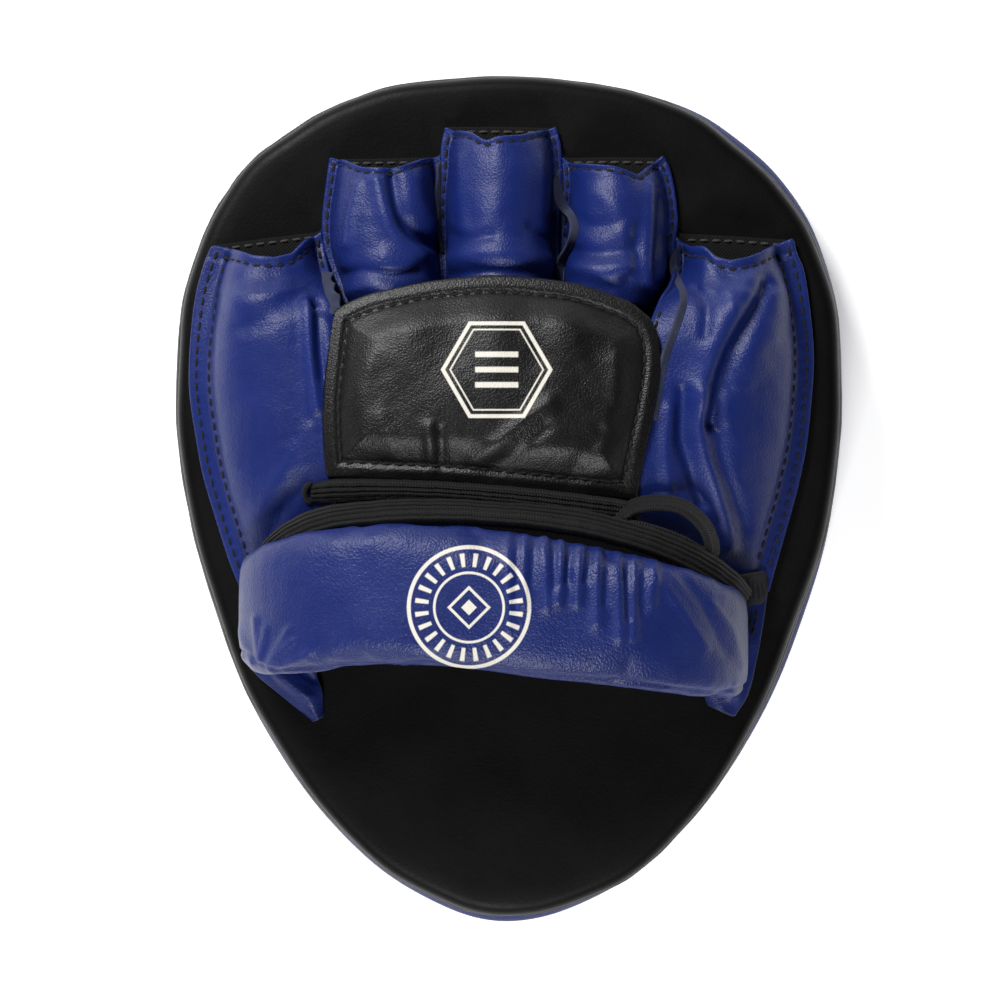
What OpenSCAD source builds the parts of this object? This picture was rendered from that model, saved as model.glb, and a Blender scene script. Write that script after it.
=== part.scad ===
// Boxing focus mitt: an egg-shaped padded target with a five-stall glove, a padded knuckle hood and a
// padded wrist cuff on its back. It lies on its striking face. The glove is on top, the fingers point
// along +Y and the wrist along -Y. The origin is under the middle of the target, on its striking face.

/* [Target pad] */
// Width of the target across its widest line
pad_w = 202; // [180:1:240]
// Length of the target from fingertip end to wrist end
pad_l = 256; // [240:1:300]
// Thickness of the target from striking face to back
pad_t = 45; // [38:1:60]
// Distance of the widest line from the middle, towards the fingers
wide_y = 33; // [20:1:45]
// Fullness of the finger end of the outline, 2 is an ellipse
top_fullness = 2.42; // [2:0.01:3]
// Fullness of the wrist end of the outline, 2 is an ellipse
bottom_fullness = 1.85; // [1.7:0.01:2.2]
// Height at which the blue striking cover meets the black gusset
seam_z = 15; // [8:0.5:20]
// Height at which the gusset meets the back cover
rim_z = 36; // [28:0.5:37]
// Inset of the rounded back rim at its top
rim_inset = 6; // [3:0.5:9]
// Inset of the rounded striking face at its flat
face_inset = 9; // [5:0.5:14]

/* [Layers] */
// Thickness of the pad's leather
cover_t = 1.6; // [1:0.1:2.5]
// Thickness of the soft foam behind the striking face
strike_foam_t = 14; // [8:0.5:18]
// Thickness of the board that carries the glove's stitches
board_t = 2.5; // [1.5:0.1:4]
// Thickness of the foam under the back cover
back_foam_t = 8; // [4:0.5:10]
// Clearance between the pad's layers
layer_gap = 0.2; // [0.1:0.05:0.5]

/* [Glove] */
// Thickness of the glove's leather
glove_t = 1.6; // [1:0.1:2.2]
// Thickness of the linings
lining_t = 1; // [0.6:0.1:1.4]
// Height of the glove over the back of the hand, above its palm lining
hood_h = 29; // [26:0.5:34]
// Height of the finger mouths above the palm lining
mouth_h = 16; // [14:0.5:20]
// Height of the outer stalls where they meet the hood
outer_root_h = 22; // [18:0.5:24]
// Height of the ring and index stalls where they meet the hood
side_root_h = 21; // [17:0.5:21.5]
// Height of the middle stall where it meets the hood
middle_root_h = 23; // [18:0.5:23.5]
// Clearance between a stall and its lining
lining_gap = 0.3; // [0.2:0.1:0.6]
// Width of the sewn flange round the glove
flange_w = 2.5; // [1.5:0.5:4]
// Depth of the scoop in each mouth's hem
hem_dip = 4; // [2:0.5:6]
// Height of the front corners that the dip leaves standing
flange_h = 3; // [2:0.5:4]
// Height of the raw seam edges between the stalls
seam_strip_h = 12; // [8:1:15]
// Thickness of the raw seam edges
seam_strip_t = 1.2; // [0.8:0.1:1.4]
// Distance of a lining's front edge behind the mouth
lining_set_back = 1; // [0.5:0.5:2]

/* [Knuckle hood] */
// Thickness of the foam in the knuckle panel
knuckle_foam_t = 4; // [3:0.5:6]
// Clearance between the hood and the leather round it
hood_gap = 0.8; // [0.5:0.1:1.2]

/* [Elastics] */
// Thickness of the elastics
elastic_t = 1.6; // [1:0.1:2]
// Width of the elastic along the glove's wrist edge
hem_w = 7; // [5:0.5:8]
// Width of the elastic in front of the cuff
wrist_elastic_w = 7; // [5:0.5:8]
// Length of the slack loop at the right
loop_l = 27; // [20:1:30]
// Width of the slack loop
loop_w = 8; // [7:0.5:9]
// Height of the slack loop's strap
loop_h = 8; // [5:0.5:9]

/* [Cuff] */
// Width of the cuff from side to side
cuff_w = 148; // [142:1:152]
// Height of the cuff above its feet
cuff_h = 47; // [42:1:55]
// Thickness of the padded cuff
cuff_t = 17; // [13:0.5:20]
// Thickness of the cuff's leather
cuff_cover_t = 1.8; // [1.2:0.1:2.2]
// Thickness of the cuff's lining
cuff_lining_t = 1.2; // [0.8:0.1:1.6]
// Place of the cuff's front edge at its middle
cuff_front_y = -5; // [-7:0.5:-4]
// Place of the cuff's rear edge at its middle
cuff_rear_y = -51; // [-54:0.5:-46]
// Bow of the cuff's front edge from its middle to its ends
cuff_bow = 17; // [12:1:20]
// Turn of the cuff seen from above
cuff_turn = -2.5; // [-3:0.5:0]
// Fullness of the cuff's arch, 2 is an ellipse
cuff_fullness = 2.3; // [2:0.05:2.6]

/* [Tails] */
// Thickness of the sewn tails below the cuff
tail_t = 1.8; // [1.2:0.1:2]
// Height of the cuff's feet above the pad's back
foot_z = 10; // [9:0.5:12]
// Thickness of the folded anchors that the cuff rocks on
anchor_t = 2; // [1.5:0.5:2.5]
// Width of the anchors
anchor_w = 12; // [8:1:14]
// Clearance between the anchors and the cuff's feet
anchor_gap = 1; // [1:0.1:2]
// Length of the bartack on the right tail
bartack_l = 15; // [10:1:18]
// Width of the bartack
bartack_w = 4.2; // [3:0.1:5]

/* [Hidden] */

blue = [0.10, 0.17, 0.50];
black = [0.09, 0.09, 0.10];
knit = [0.15, 0.15, 0.17];
foam = [0.80, 0.78, 0.66];
board = [0.60, 0.48, 0.32];

outline_points = 72;
arch_points = 20;
slice = 0.1;
far = 400;
through = 3;

// Inset of the gusset's upper edge from its lower one
gusset_draw = 2;
// Levels of the pad's skins from low to high, each a height and the outline's inset there
strike_levels = [[0, face_inset], [2, face_inset * 0.55], [seam_z * 0.45, 1.2], [seam_z, 0]];
gusset_levels = [[seam_z, 0], [(seam_z + rim_z) / 2, gusset_draw / 4], [rim_z, gusset_draw]];
back_levels = [[rim_z, gusset_draw], [pad_t - 5, rim_inset / 2], [pad_t - 1.5, rim_inset - 2], [pad_t, rim_inset]];

back_foam_z = pad_t - cover_t - layer_gap - back_foam_t;
board_z = back_foam_z - layer_gap - board_t;
strike_foam_z = cover_t + layer_gap;
core_z = strike_foam_z + strike_foam_t + layer_gap;
core_t = board_z - layer_gap - core_z;
foam_inset = cover_t + layer_gap;
core_inset = foam_inset + max(gusset_draw, rim_inset / 2);
board_inset = core_inset + 1;

// Places of the glove in plan. Each stall is [left, right] at its mouth, [left, right] at its root,
// the place of its mouth, its mouth's height and its root's height.
palm_z = pad_t + lining_t;
root_y = 60;
outer_root_y = 50;
STALLS = [
    [[-86, -57], [-90, -55], 76, mouth_h, outer_root_h, outer_root_y],
    [[-52.5, -20.6], [-52.5, -20.6], 98.5, mouth_h, side_root_h, root_y],
    [[-18.4, 12.8], [-18.4, 12.8], 108, mouth_h, middle_root_h, root_y],
    [[15.2, 46], [15.2, 46.5], 98.5, mouth_h, side_root_h, root_y],
    [[49.5, 83], [49, 86.5], 76, mouth_h, outer_root_h, outer_root_y]
];
left_outer = 0;
left_finger = 1;
middle_finger = 2;
right_finger = 3;
right_outer = 4;

// The hood is carried through these arches: [place along Y, left, right, share of hood_h]
HOOD = [
    [-22, -76.5, 75, 0.72],
    [0, -84, 82, 0.97],
    [35, -91, 87, 1],
    [62, -88, 85, 0.83]
];
hood_rear = -22;
hem_y = -4;
hem_outline = [[-58, 4], [-52, 4.4], [35, 2.4], [35.2, hem_y], [0, 2.7 - hem_w], [-58, 4 - hem_w]];
knuckle_outline = [
    [-52, 5], [-52.5, 50], [-50, 53.5], [-42, 58.5], [-22, 63], [-5.5, 64.5],
    [19.5, 62], [35, 56.5], [40, 53], [43, 46], [43, 38], [37.5, 10], [35.5, 3]
];
hood_middle = [-6, 34];
knuckle_inset = 2.5;

cuff_x = -4.5;
foot_top = pad_t + foot_z;
cuff_axis_y = -38;
cuff_gap = 1;
wrist_elastic_z = 6;
bow_r = (pow(cuff_w / 2, 2) + pow(cuff_bow, 2)) / (2 * cuff_bow);
loop_seat = 0.77 * hood_h;
loop_z = palm_z + loop_seat + 2.07;
loop_x = 49.5;
loop_y = -2.5;
loop_turn = -12;
loop_slope = 14;
anchor_inset = 3;
bartack_x = 70.5;
bartack_y = -39;
bartack_turn = -6;

function sign_pow(v, e) = sign(v) * pow(abs(v), e);

// One ring of the pad's egg outline, drawn in by an inset: two half superellipses on the widest line
function egg(inset) = [
    for (i = [0 : outline_points - 1])
        let (
            t = 360 * i / outline_points,
            finger_end = sin(t) >= 0,
            reach = (finger_end ? pad_l / 2 - wide_y : pad_l / 2 + wide_y) - inset,
            e = 2 / (finger_end ? top_fullness : bottom_fullness)
        )
        [(pad_w / 2 - inset) * sign_pow(cos(t), e), wide_y + reach * sign_pow(sin(t), e)]
];

// Half a superellipse standing on the X axis between left and right
function arch(left, right, height, fullness) = [
    for (i = [0 : arch_points])
        let (t = 180 * i / arch_points)
        [
            (left + right) / 2 + (right - left) / 2 * sign_pow(cos(t), 2 / fullness),
            height * sign_pow(sin(t), 2 / fullness)
        ]
];

// Levels squeezed between two heights and moved in by the leather's thickness
function inner_levels(levels, low, high) =
    let (z0 = levels[0][0], z1 = levels[len(levels) - 1][0])
    [for (l = levels) [low + (l[0] - z0) * (high - low) / (z1 - z0), l[1] + cover_t]];

function reversed(list) = [for (i = [len(list) - 1 : -1 : 0]) list[i]];

// Points drawn towards a middle by a distance, along the line to that middle
function drawn_in(points, middle, distance) = [
    for (p = points) p - (p - middle) / norm(p - middle) * distance
];

// A closed body through the egg rings of some levels: capped at both ends, or joined end to end
module egg_body(levels, joined) {
    n = outline_points;
    m = len(levels);
    sides = [
        for (i = [0 : m - (joined ? 1 : 2)], j = [0 : n - 1])
            let (
                a = i * n + j,
                b = i * n + (j + 1) % n,
                c = (i + 1) % m * n + (j + 1) % n,
                d = (i + 1) % m * n + j
            )
            each [[a, c, b], [a, d, c]]
    ];
    caps = joined ? [] : [[for (j = [0 : n - 1]) j], [for (j = [n - 1 : -1 : 0]) (m - 1) * n + j]];
    polyhedron([for (l = levels) each [for (p = egg(l[1])) [p[0], p[1], l[0]]]], concat(sides, caps));
}

module egg_plate(inset, z, t) {
    translate([0, 0, z])
        linear_extrude(t)
            polygon(egg(inset));
}

// A flat outline stood up in XZ and carried from y0 to y1
module along_y(y0, y1) {
    translate([0, y1, 0])
        rotate([90, 0, 0])
            linear_extrude(y1 - y0)
                children();
}

module plan(points) {
    linear_extrude(far)
        polygon(points);
}

// ---- pad -------------------------------------------------------------------------------------------

module strike_cover() {
    color(blue)
        egg_body(concat(strike_levels, reversed(inner_levels(strike_levels, cover_t, seam_z))), false);
}

module side_gusset() {
    color(black)
        egg_body(concat(gusset_levels, reversed(inner_levels(gusset_levels, seam_z, rim_z))), true);
}

module back_cover() {
    color(black)
        egg_body(concat(reversed(inner_levels(back_levels, rim_z, pad_t - cover_t)), back_levels), false);
}

module strike_foam() {
    foam_top = strike_foam_z + strike_foam_t;
    levels = [for (l = inner_levels(strike_levels, cover_t, seam_z)) if (l[0] < foam_top - 1) l];
    color(foam)
        egg_body(
            concat([for (l = levels) l + [layer_gap, layer_gap]], [[foam_top, foam_inset + gusset_draw / 2]]),
            false
        );
}

module core_foam() {
    color(foam)
        egg_plate(core_inset, core_z, core_t);
}

module stiffener_board() {
    color(board)
        egg_plate(board_inset, board_z, board_t);
}

module back_foam() {
    color(foam)
        egg_plate(foam_inset + rim_inset, back_foam_z, back_foam_t);
}

// ---- glove -----------------------------------------------------------------------------------------

module arch_slice(y, left, right, height) {
    along_y(y - slice / 2, y + slice / 2)
        polygon(arch(left, right, height, 2));
}

// One stall's tunnel, with its walls moved in by a distance and its mouth and its root run on
module tunnel(stall, inset, mouth_on, root_on) {
    translate([0, 0, palm_z])
        hull() {
            arch_slice(stall[2] + mouth_on, stall[0][0] + inset, stall[0][1] - inset, stall[3] - inset);
            arch_slice(stall[5] - root_on, stall[1][0] + inset, stall[1][1] - inset, stall[4] - inset);
        }
}

// The glove's body over the back of the hand, with its walls moved in by a distance
module hood_body(inset, run_on) {
    translate([0, 0, palm_z])
        hull()
            for (i = [0 : len(HOOD) - 1])
                arch_slice(
                    HOOD[i][0] + (i == 0 ? -run_on : i == len(HOOD) - 1 ? run_on : 0),
                    HOOD[i][1] + inset,
                    HOOD[i][2] - inset,
                    HOOD[i][3] * hood_h - inset
                );
}

// The scoop that a mouth's hem makes
module hem_scoop(stall) {
    half = (stall[0][1] - stall[0][0]) / 2;
    r = (half * half + hem_dip * hem_dip) / (2 * hem_dip);
    translate([stall[0][0] + half, stall[2] + r - hem_dip, palm_z + flange_h])
        cylinder(h = far, r = r, $fn = 96);
}

module finger_stall(stall) {
    color(blue)
        difference() {
            tunnel(stall, 0, 0, 0);
            tunnel(stall, glove_t, through, through);
            hem_scoop(stall);
        }
}

module finger_lining(stall) {
    color(black)
        intersection() {
            difference() {
                tunnel(stall, glove_t + lining_gap, through, through);
                tunnel(stall, glove_t + lining_gap + lining_t, through, through);
                hem_scoop(stall);
            }
            translate([-far / 2, stall[5] + glove_t + lining_gap, 0])
                cube([far, stall[2] - stall[5] - lining_set_back - glove_t - lining_gap, far]);
        }
}

// The part of the glove beside the hood, and the mouth that is cut in one piece with it
module outer_stall(stall, outline) {
    color(blue)
        intersection() {
            difference() {
                union() {
                    tunnel(stall, 0, 0, 0);
                    hood_body(0, 0);
                }
                tunnel(stall, glove_t, through, -glove_t);
                hood_body(glove_t, through);
                hem_scoop(stall);
                cuff_room(cuff_gap, -cuff_gap);
                cuff_room(cuff_gap + wrist_elastic_w, wrist_elastic_z - cuff_gap);
                plan(drawn_in(knuckle_outline, hood_middle, -hood_gap));
            }
            plan(outline);
        }
}

// The space above a height over the cuff's feet that the cuff and its elastic need
module cuff_room(grow, z) {
    translate([0, 0, foot_top + z])
        linear_extrude(far)
            cuff_plan(-grow);
}

left_edge = [
    [-100, 80], [-56, 80], [-54.5, 59], [-43, 59.6], [-47, 50], [-49, 9], [-53, 4.5],
    [-60, 4], [-60, -24], [-100, -24]
];
right_edge = [
    [100, 80], [48.5, 80], [48, 59.2], [38, 59.2], [36.5, 57.2], [37, 50], [40, 42],
    [35, 10], [36.6, 3], [36, -4], [58, -24], [100, -24]
];

module left_outer_stall() outer_stall(STALLS[left_outer], left_edge);
module left_finger_stall() finger_stall(STALLS[left_finger]);
module middle_finger_stall() finger_stall(STALLS[middle_finger]);
module right_finger_stall() finger_stall(STALLS[right_finger]);
module right_outer_stall() outer_stall(STALLS[right_outer], right_edge);

module left_outer_lining() finger_lining(STALLS[left_outer]);
module left_finger_lining() finger_lining(STALLS[left_finger]);
module middle_finger_lining() finger_lining(STALLS[middle_finger]);
module right_finger_lining() finger_lining(STALLS[right_finger]);
module right_outer_lining() finger_lining(STALLS[right_outer]);

module palm_lining() {
    color(black)
        translate([0, 0, pad_t])
            linear_extrude(lining_t)
                union() {
                    for (s = STALLS)
                        polygon([
                            [s[0][0] - flange_w / 2, s[2]],
                            [s[0][1] + flange_w / 2, s[2]],
                            [s[1][1] + flange_w / 2, outer_root_y - through],
                            [s[1][0] - flange_w / 2, outer_root_y - through]
                        ]);
                    polygon([
                        for (h = HOOD) [h[1] - flange_w, h[0]],
                        for (i = [len(HOOD) - 1 : -1 : 0]) [HOOD[i][2] + flange_w, HOOD[i][0]]
                    ]);
                }
}

// One raw seam edge standing in the gap between two stalls
module seam_strip(left_stall, right_stall, y0, y1) {
    x = (STALLS[left_stall][0][1] + STALLS[right_stall][0][0]) / 2;
    color(knit)
        translate([x - seam_strip_t / 2, y0, palm_z])
            cube([seam_strip_t, y1 - y0, seam_strip_h]);
}

module seam_strip_1() seam_strip(left_outer, left_finger, 61, 75);
module seam_strip_2() seam_strip(left_finger, middle_finger, 66, 96);
module seam_strip_3() seam_strip(middle_finger, right_finger, 66, 94);
module seam_strip_4() seam_strip(right_finger, right_outer, 63, 75);

// ---- knuckle hood ----------------------------------------------------------------------------------

panel_rise = knuckle_foam_t + 2 * layer_gap;

// A layer of the hood between two insets, inside an outline
module hood_layer(outer, inner, outline) {
    intersection() {
        difference() {
            hood_body(outer, through);
            hood_body(inner, 2 * through);
        }
        plan(outline);
    }
}

module knuckle_panel() {
    color(black)
        difference() {
            hood_layer(-panel_rise - glove_t, -layer_gap, knuckle_outline);
            hood_layer(-panel_rise, through, drawn_in(knuckle_outline, hood_middle, glove_t));
        }
}

module knuckle_foam() {
    color(foam)
        hood_layer(layer_gap - panel_rise, -layer_gap, drawn_in(knuckle_outline, hood_middle, knuckle_inset));
}

module knuckle_lining() {
    color(black)
        intersection() {
            hood_layer(layer_gap, layer_gap + lining_t, drawn_in(knuckle_outline, hood_middle, knuckle_inset));
            translate([-far / 2, -far, 0])
                cube([far, far + root_y - lining_set_back, far]);
        }
}

// ---- elastics --------------------------------------------------------------------------------------

module hem_elastic() {
    color(knit)
        hood_layer(
            -panel_rise - glove_t,
            -panel_rise - glove_t + elastic_t,
            hem_outline
        );
}

module loop_outline(grow) {
    r = loop_w / 2 + grow;
    run = loop_l - loop_w;
    translate([-run / 2, 0])
        circle(r = r, $fn = 48);
    translate([run / 2, 0])
        circle(r = r, $fn = 48);
    translate([-run / 2, -r])
        square([run, 2 * r]);
}

module elastic_loop() {
    color(knit)
        translate([loop_x, loop_y, loop_z])
            rotate([0, loop_slope, loop_turn])
                linear_extrude(loop_h)
                    difference() {
                        loop_outline(0);
                        loop_outline(-elastic_t);
                    }
}

// The cuff seen from above: a bowed front edge and a straight rear edge, drawn in by a distance
module cuff_plan(inset) {
    translate([cuff_x, 0, 0])
        rotate([0, 0, cuff_turn])
            intersection() {
                translate([0, cuff_front_y - bow_r])
                    circle(r = bow_r - inset, $fn = 180);
                translate([-cuff_w, cuff_rear_y + inset])
                    square([2 * cuff_w, far]);
            }
}

// The cuff's arch with its surface moved in by a distance, cut off level at a height
module cuff_arch(inset, floor_z) {
    intersection() {
        translate([0, 0, foot_top])
            along_y(-far / 2, far / 2)
                polygon(arch(
                    cuff_x - cuff_w / 2 + inset,
                    cuff_x + cuff_w / 2 - inset,
                    cuff_h - inset,
                    cuff_fullness
                ));
        translate([-far / 2, -far / 2, floor_z])
            cube([far, far, far]);
    }
}

// A layer of the cuff between two insets, drawn in by an edge and lifted off the feet
module cuff_layer(outer, inner, edge, lift) {
    difference() {
        intersection() {
            cuff_arch(outer, foot_top + lift);
            linear_extrude(far)
                cuff_plan(edge);
        }
        cuff_arch(inner, foot_top - through);
    }
}

module wrist_elastic() {
    band = cuff_t / 2;
    color(knit)
        difference() {
            intersection() {
                cuff_arch(band, foot_top + wrist_elastic_z);
                linear_extrude(far)
                    cuff_plan(-wrist_elastic_w);
            }
            cuff_arch(band + elastic_t, foot_top - through);
            linear_extrude(far)
                cuff_plan(-layer_gap / 2);
            translate([-far / 2, -far, 0])
                cube([far, far + cuff_rear_y + cuff_bow, far]);
        }
}

// ---- cuff ------------------------------------------------------------------------------------------

module cuff_cover() {
    color(blue)
        difference() {
            cuff_layer(0, cuff_t, 0, 0);
            cuff_layer(cuff_cover_t, cuff_t + through, cuff_cover_t, cuff_cover_t);
        }
}

module cuff_foam() {
    color(foam)
        cuff_layer(
            cuff_cover_t + layer_gap,
            cuff_t - cuff_lining_t - layer_gap,
            cuff_cover_t + layer_gap,
            cuff_cover_t + layer_gap
        );
}

module cuff_lining() {
    color(black)
        cuff_layer(cuff_t - cuff_lining_t, cuff_t, cuff_cover_t + layer_gap / 2, cuff_cover_t + layer_gap / 2);
}

// ---- tails, anchors and bartack --------------------------------------------------------------------

module flat_patch(points, z, t) {
    translate([0, 0, z])
        linear_extrude(t)
            polygon(points);
}

tail_front = hood_rear - layer_gap;

module left_tail() {
    color(blue)
        flat_patch(
            [[-79, tail_front], [-57, tail_front], [-57, -60], [-61, -64], [-66, -62], [-75, -48]],
            pad_t,
            tail_t
        );
}

module right_tail() {
    color(blue)
        flat_patch(
            [[55, tail_front], [77.5, tail_front], [74.5, -42], [68, -58], [64, -62], [57, -58], [53, -50]],
            pad_t,
            tail_t
        );
}

module anchor(x) {
    color(blue)
        translate([x, cuff_axis_y - anchor_t / 2, pad_t + tail_t])
            cube([anchor_w, anchor_t, foot_z - anchor_gap - tail_t]);
}

module left_anchor() anchor(cuff_x - cuff_w / 2 + anchor_inset);
module right_anchor() anchor(cuff_x + cuff_w / 2 - anchor_inset - anchor_w);

module right_bartack() {
    color(knit)
        translate([bartack_x, bartack_y, pad_t + tail_t])
            rotate([0, 0, bartack_turn])
                cube([bartack_w, bartack_l, elastic_t]);
}

strike_cover();
side_gusset();
back_cover();
strike_foam();
core_foam();
stiffener_board();
back_foam();
palm_lining();
left_outer_stall();
left_finger_stall();
middle_finger_stall();
right_finger_stall();
right_outer_stall();
left_outer_lining();
left_finger_lining();
middle_finger_lining();
right_finger_lining();
right_outer_lining();
seam_strip_1();
seam_strip_2();
seam_strip_3();
seam_strip_4();
knuckle_panel();
knuckle_foam();
knuckle_lining();
hem_elastic();
elastic_loop();
wrist_elastic();
cuff_cover();
cuff_foam();
cuff_lining();
left_tail();
right_tail();
left_anchor();
right_anchor();
right_bartack();
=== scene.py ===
import math

import bmesh
import bpy
import numpy as np
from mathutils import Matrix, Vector
from mathutils.bvhtree import BVHTree


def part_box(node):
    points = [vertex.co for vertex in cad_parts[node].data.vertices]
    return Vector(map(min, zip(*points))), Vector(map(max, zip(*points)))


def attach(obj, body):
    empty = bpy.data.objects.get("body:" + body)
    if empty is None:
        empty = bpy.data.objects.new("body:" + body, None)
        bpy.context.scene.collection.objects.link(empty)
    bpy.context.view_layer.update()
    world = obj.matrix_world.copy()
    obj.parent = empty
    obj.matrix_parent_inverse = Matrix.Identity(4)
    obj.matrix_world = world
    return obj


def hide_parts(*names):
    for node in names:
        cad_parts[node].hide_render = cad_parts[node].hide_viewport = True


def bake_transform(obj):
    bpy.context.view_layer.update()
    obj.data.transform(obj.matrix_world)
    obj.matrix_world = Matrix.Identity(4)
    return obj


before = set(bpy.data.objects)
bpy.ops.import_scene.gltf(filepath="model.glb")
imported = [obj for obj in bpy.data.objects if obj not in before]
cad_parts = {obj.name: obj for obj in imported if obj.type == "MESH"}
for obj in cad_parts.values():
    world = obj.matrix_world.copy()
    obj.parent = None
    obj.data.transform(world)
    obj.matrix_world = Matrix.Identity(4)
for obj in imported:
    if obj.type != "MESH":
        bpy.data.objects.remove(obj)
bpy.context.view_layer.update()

bl_info = {
    "name": "Boxing focus mitt",
    "version": (1, 0, 0),
    "blender": (4, 5, 0),
    "location": "View3D > Sidebar > Focus mitt",
    "description": "Builds a sewn leather focus mitt on its packed frame",
    "category": "Add Mesh",
}

MM = 0.001


def box_mm(node):
    """A CAD node's lowest and highest corners, in millimetres."""
    low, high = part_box(node)
    return np.array(low) / MM, np.array(high) / MM


PAD_LOW, PAD_HIGH = box_mm("strike_cover")
BACK_LOW, BACK_HIGH = box_mm("back_cover")
CUFF_LOW, CUFF_HIGH = box_mm("cuff_cover")
LINER_LOW, LINER_HIGH = box_mm("palm_lining")


# ---- properties ---------------------------------------------------------------------------------

def length_mm(name, description, default):
    return bpy.props.FloatProperty(name=name, description=description + ", in mm", default=default)


def tint(name, description, default):
    return bpy.props.FloatVectorProperty(
        name=name, description=description, subtype="COLOR", size=3, default=default)


class MittSizes(bpy.types.PropertyGroup):
    pad_width: length_mm(
        "Target width", "Width of the target across its widest line",
        float(PAD_HIGH[0] - PAD_LOW[0]))
    pad_length: length_mm(
        "Target length", "Length of the target from finger end to wrist end",
        float(PAD_HIGH[1] - PAD_LOW[1]))
    back_height: length_mm(
        "Back height", "Height of the target's back", float(BACK_HIGH[2]))
    rim_height: length_mm(
        "Rim height", "Height of the seam round the back", float(BACK_LOW[2]))
    seam_height: length_mm(
        "Seam height", "Height of the seam round the striking cover", float(PAD_HIGH[2]))
    wide_line: length_mm(
        "Widest line", "Place of the target's widest line along Y", 33.0)
    leather: length_mm(
        "Leather", "Thickness of the leather", 1.4)
    cover: length_mm(
        "Cover leather", "Thickness of the target's leather", 1.6)
    hood_height: length_mm(
        "Hood height", "Height of the hood over its palm lining", 29.0)
    panel_rise: length_mm(
        "Panel rise", "Height of the padded knuckle panel over the hood", 6.0)
    stitch_pitch: length_mm(
        "Stitch pitch", "Distance from one stitch to the next", 3.6)
    stitch_length: length_mm(
        "Stitch length", "Length of one stitch", 2.9)
    thread: length_mm(
        "Thread", "Radius of the sewing thread", 0.46)


class MittColours(bpy.types.PropertyGroup):
    blue: tint("Blue leather", "Colour of the glove, cuff and striking cover",
               (0.0048, 0.0140, 0.108))
    black: tint("Black leather", "Colour of the target's back and the knuckle panel",
                (0.0020, 0.0020, 0.0022))
    elastic: tint("Elastic", "Colour of the ribbed elastics", (0.0045, 0.0045, 0.0045))
    lining: tint("Lining", "Colour of the linings", (0.0030, 0.0030, 0.0032))
    suede: tint("Raw edge", "Colour of the leather's raw flesh side", (0.028, 0.033, 0.062))
    print_white: tint("Print", "Colour of the printed marks", (0.66, 0.63, 0.56))
    foam: tint("Foam", "Colour of the foam layers", (0.085, 0.085, 0.090))
    board: tint("Board", "Colour of the stiffening board", (0.34, 0.24, 0.14))


def sizes():
    return bpy.context.scene.mitt_sizes


def colours():
    return bpy.context.scene.mitt_colours


# ---- curves and fields --------------------------------------------------------------------------

def run_along(line):
    """How far along a line each of its points lies: the running sum of the steps' lengths."""
    return np.concatenate([[0], np.cumsum(np.linalg.norm(np.diff(line, axis=0), axis=1))])


def curve(points, count):
    """A smooth curve through points, cut into evenly spaced places: a Catmull-Rom spline between
    each pair of points, with its end tangents mirrored, then resampled by its length."""
    p = np.asarray(points, float)
    q = np.vstack([2 * p[0] - p[1], p, 2 * p[-1] - p[-2]])
    t = np.linspace(0, 1, 16, endpoint=False)[:, None]
    spans = [
        0.5 * (2 * b + (c - a) * t + (2 * a - 5 * b + 4 * c - d) * t ** 2
               + (3 * b - a - 3 * c + d) * t ** 3)
        for a, b, c, d in zip(q[:-3], q[1:-2], q[2:-1], q[3:])
    ]
    fine = np.vstack(spans + [p[-1:]])
    run = run_along(fine)
    at = np.linspace(0, run[-1], count)
    return np.column_stack([np.interp(at, run, fine[:, k]) for k in range(p.shape[1])])


def distance(xy, line):
    """How far each place in plan is from a broken line: the least distance to any of its pieces."""
    a, b = line[:-1], line[1:]
    d = b - a
    length2 = np.maximum((d * d).sum(-1), 1e-9)
    out = np.full(xy.shape[:-1], np.inf)
    for k in range(len(a)):
        rel = xy - a[k]
        t = np.clip((rel * d[k]).sum(-1) / length2[k], 0, 1)
        out = np.minimum(out, np.linalg.norm(rel - t[..., None] * d[k], axis=-1))
    return out


def folds(xy, creases):
    """The height of some folds: each is a crease line with a height and a width, and raises the
    leather by its height times a bell curve of the distance to its line."""
    out = np.zeros(xy.shape[:-1])
    for line, height, width in creases:
        out += height * np.exp(-(distance(xy, curve(line, 24)) / width) ** 2)
    return out


def crumple(xy, size, seed):
    """Gentle unevenness between -1 and 1: the mean of twelve waves of about the given length, each
    in its own direction and phase."""
    draw = np.random.default_rng(seed)
    out = np.zeros(xy.shape[:-1])
    for _ in range(12):
        turn, phase = draw.uniform(0, 2 * math.pi, 2)
        wave = 2 * math.pi / (size * draw.uniform(0.6, 1.7))
        out += np.sin(wave * (xy[..., 0] * math.cos(turn) + xy[..., 1] * math.sin(turn)) + phase)
    return out / 12 ** 0.5 * 0.6


def ease(t):
    """A smooth step from 0 to 1: 3 t^2 - 2 t^3, with t kept between 0 and 1."""
    t = np.clip(t, 0, 1)
    return t * t * (3 - 2 * t)


def unit(v):
    """Each vector divided by its length."""
    return v / np.maximum(np.linalg.norm(v, axis=-1, keepdims=True), 1e-9)


def normals(p):
    """Unit normals of a grid of points: the cross product of its two directions' differences."""
    return unit(np.cross(np.gradient(p, axis=0), np.gradient(p, axis=1)))


def relaxed(p, rounds):
    """A grid with the corners of its rows softened: each place moves halfway to its neighbours'
    middle."""
    for _ in range(rounds):
        inner = p[1:-1] * 0.5 + (p[:-2] + p[2:]) * 0.25
        p = np.concatenate([p[:1], inner, p[-1:]])
    return p


# ---- meshes -------------------------------------------------------------------------------------

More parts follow.
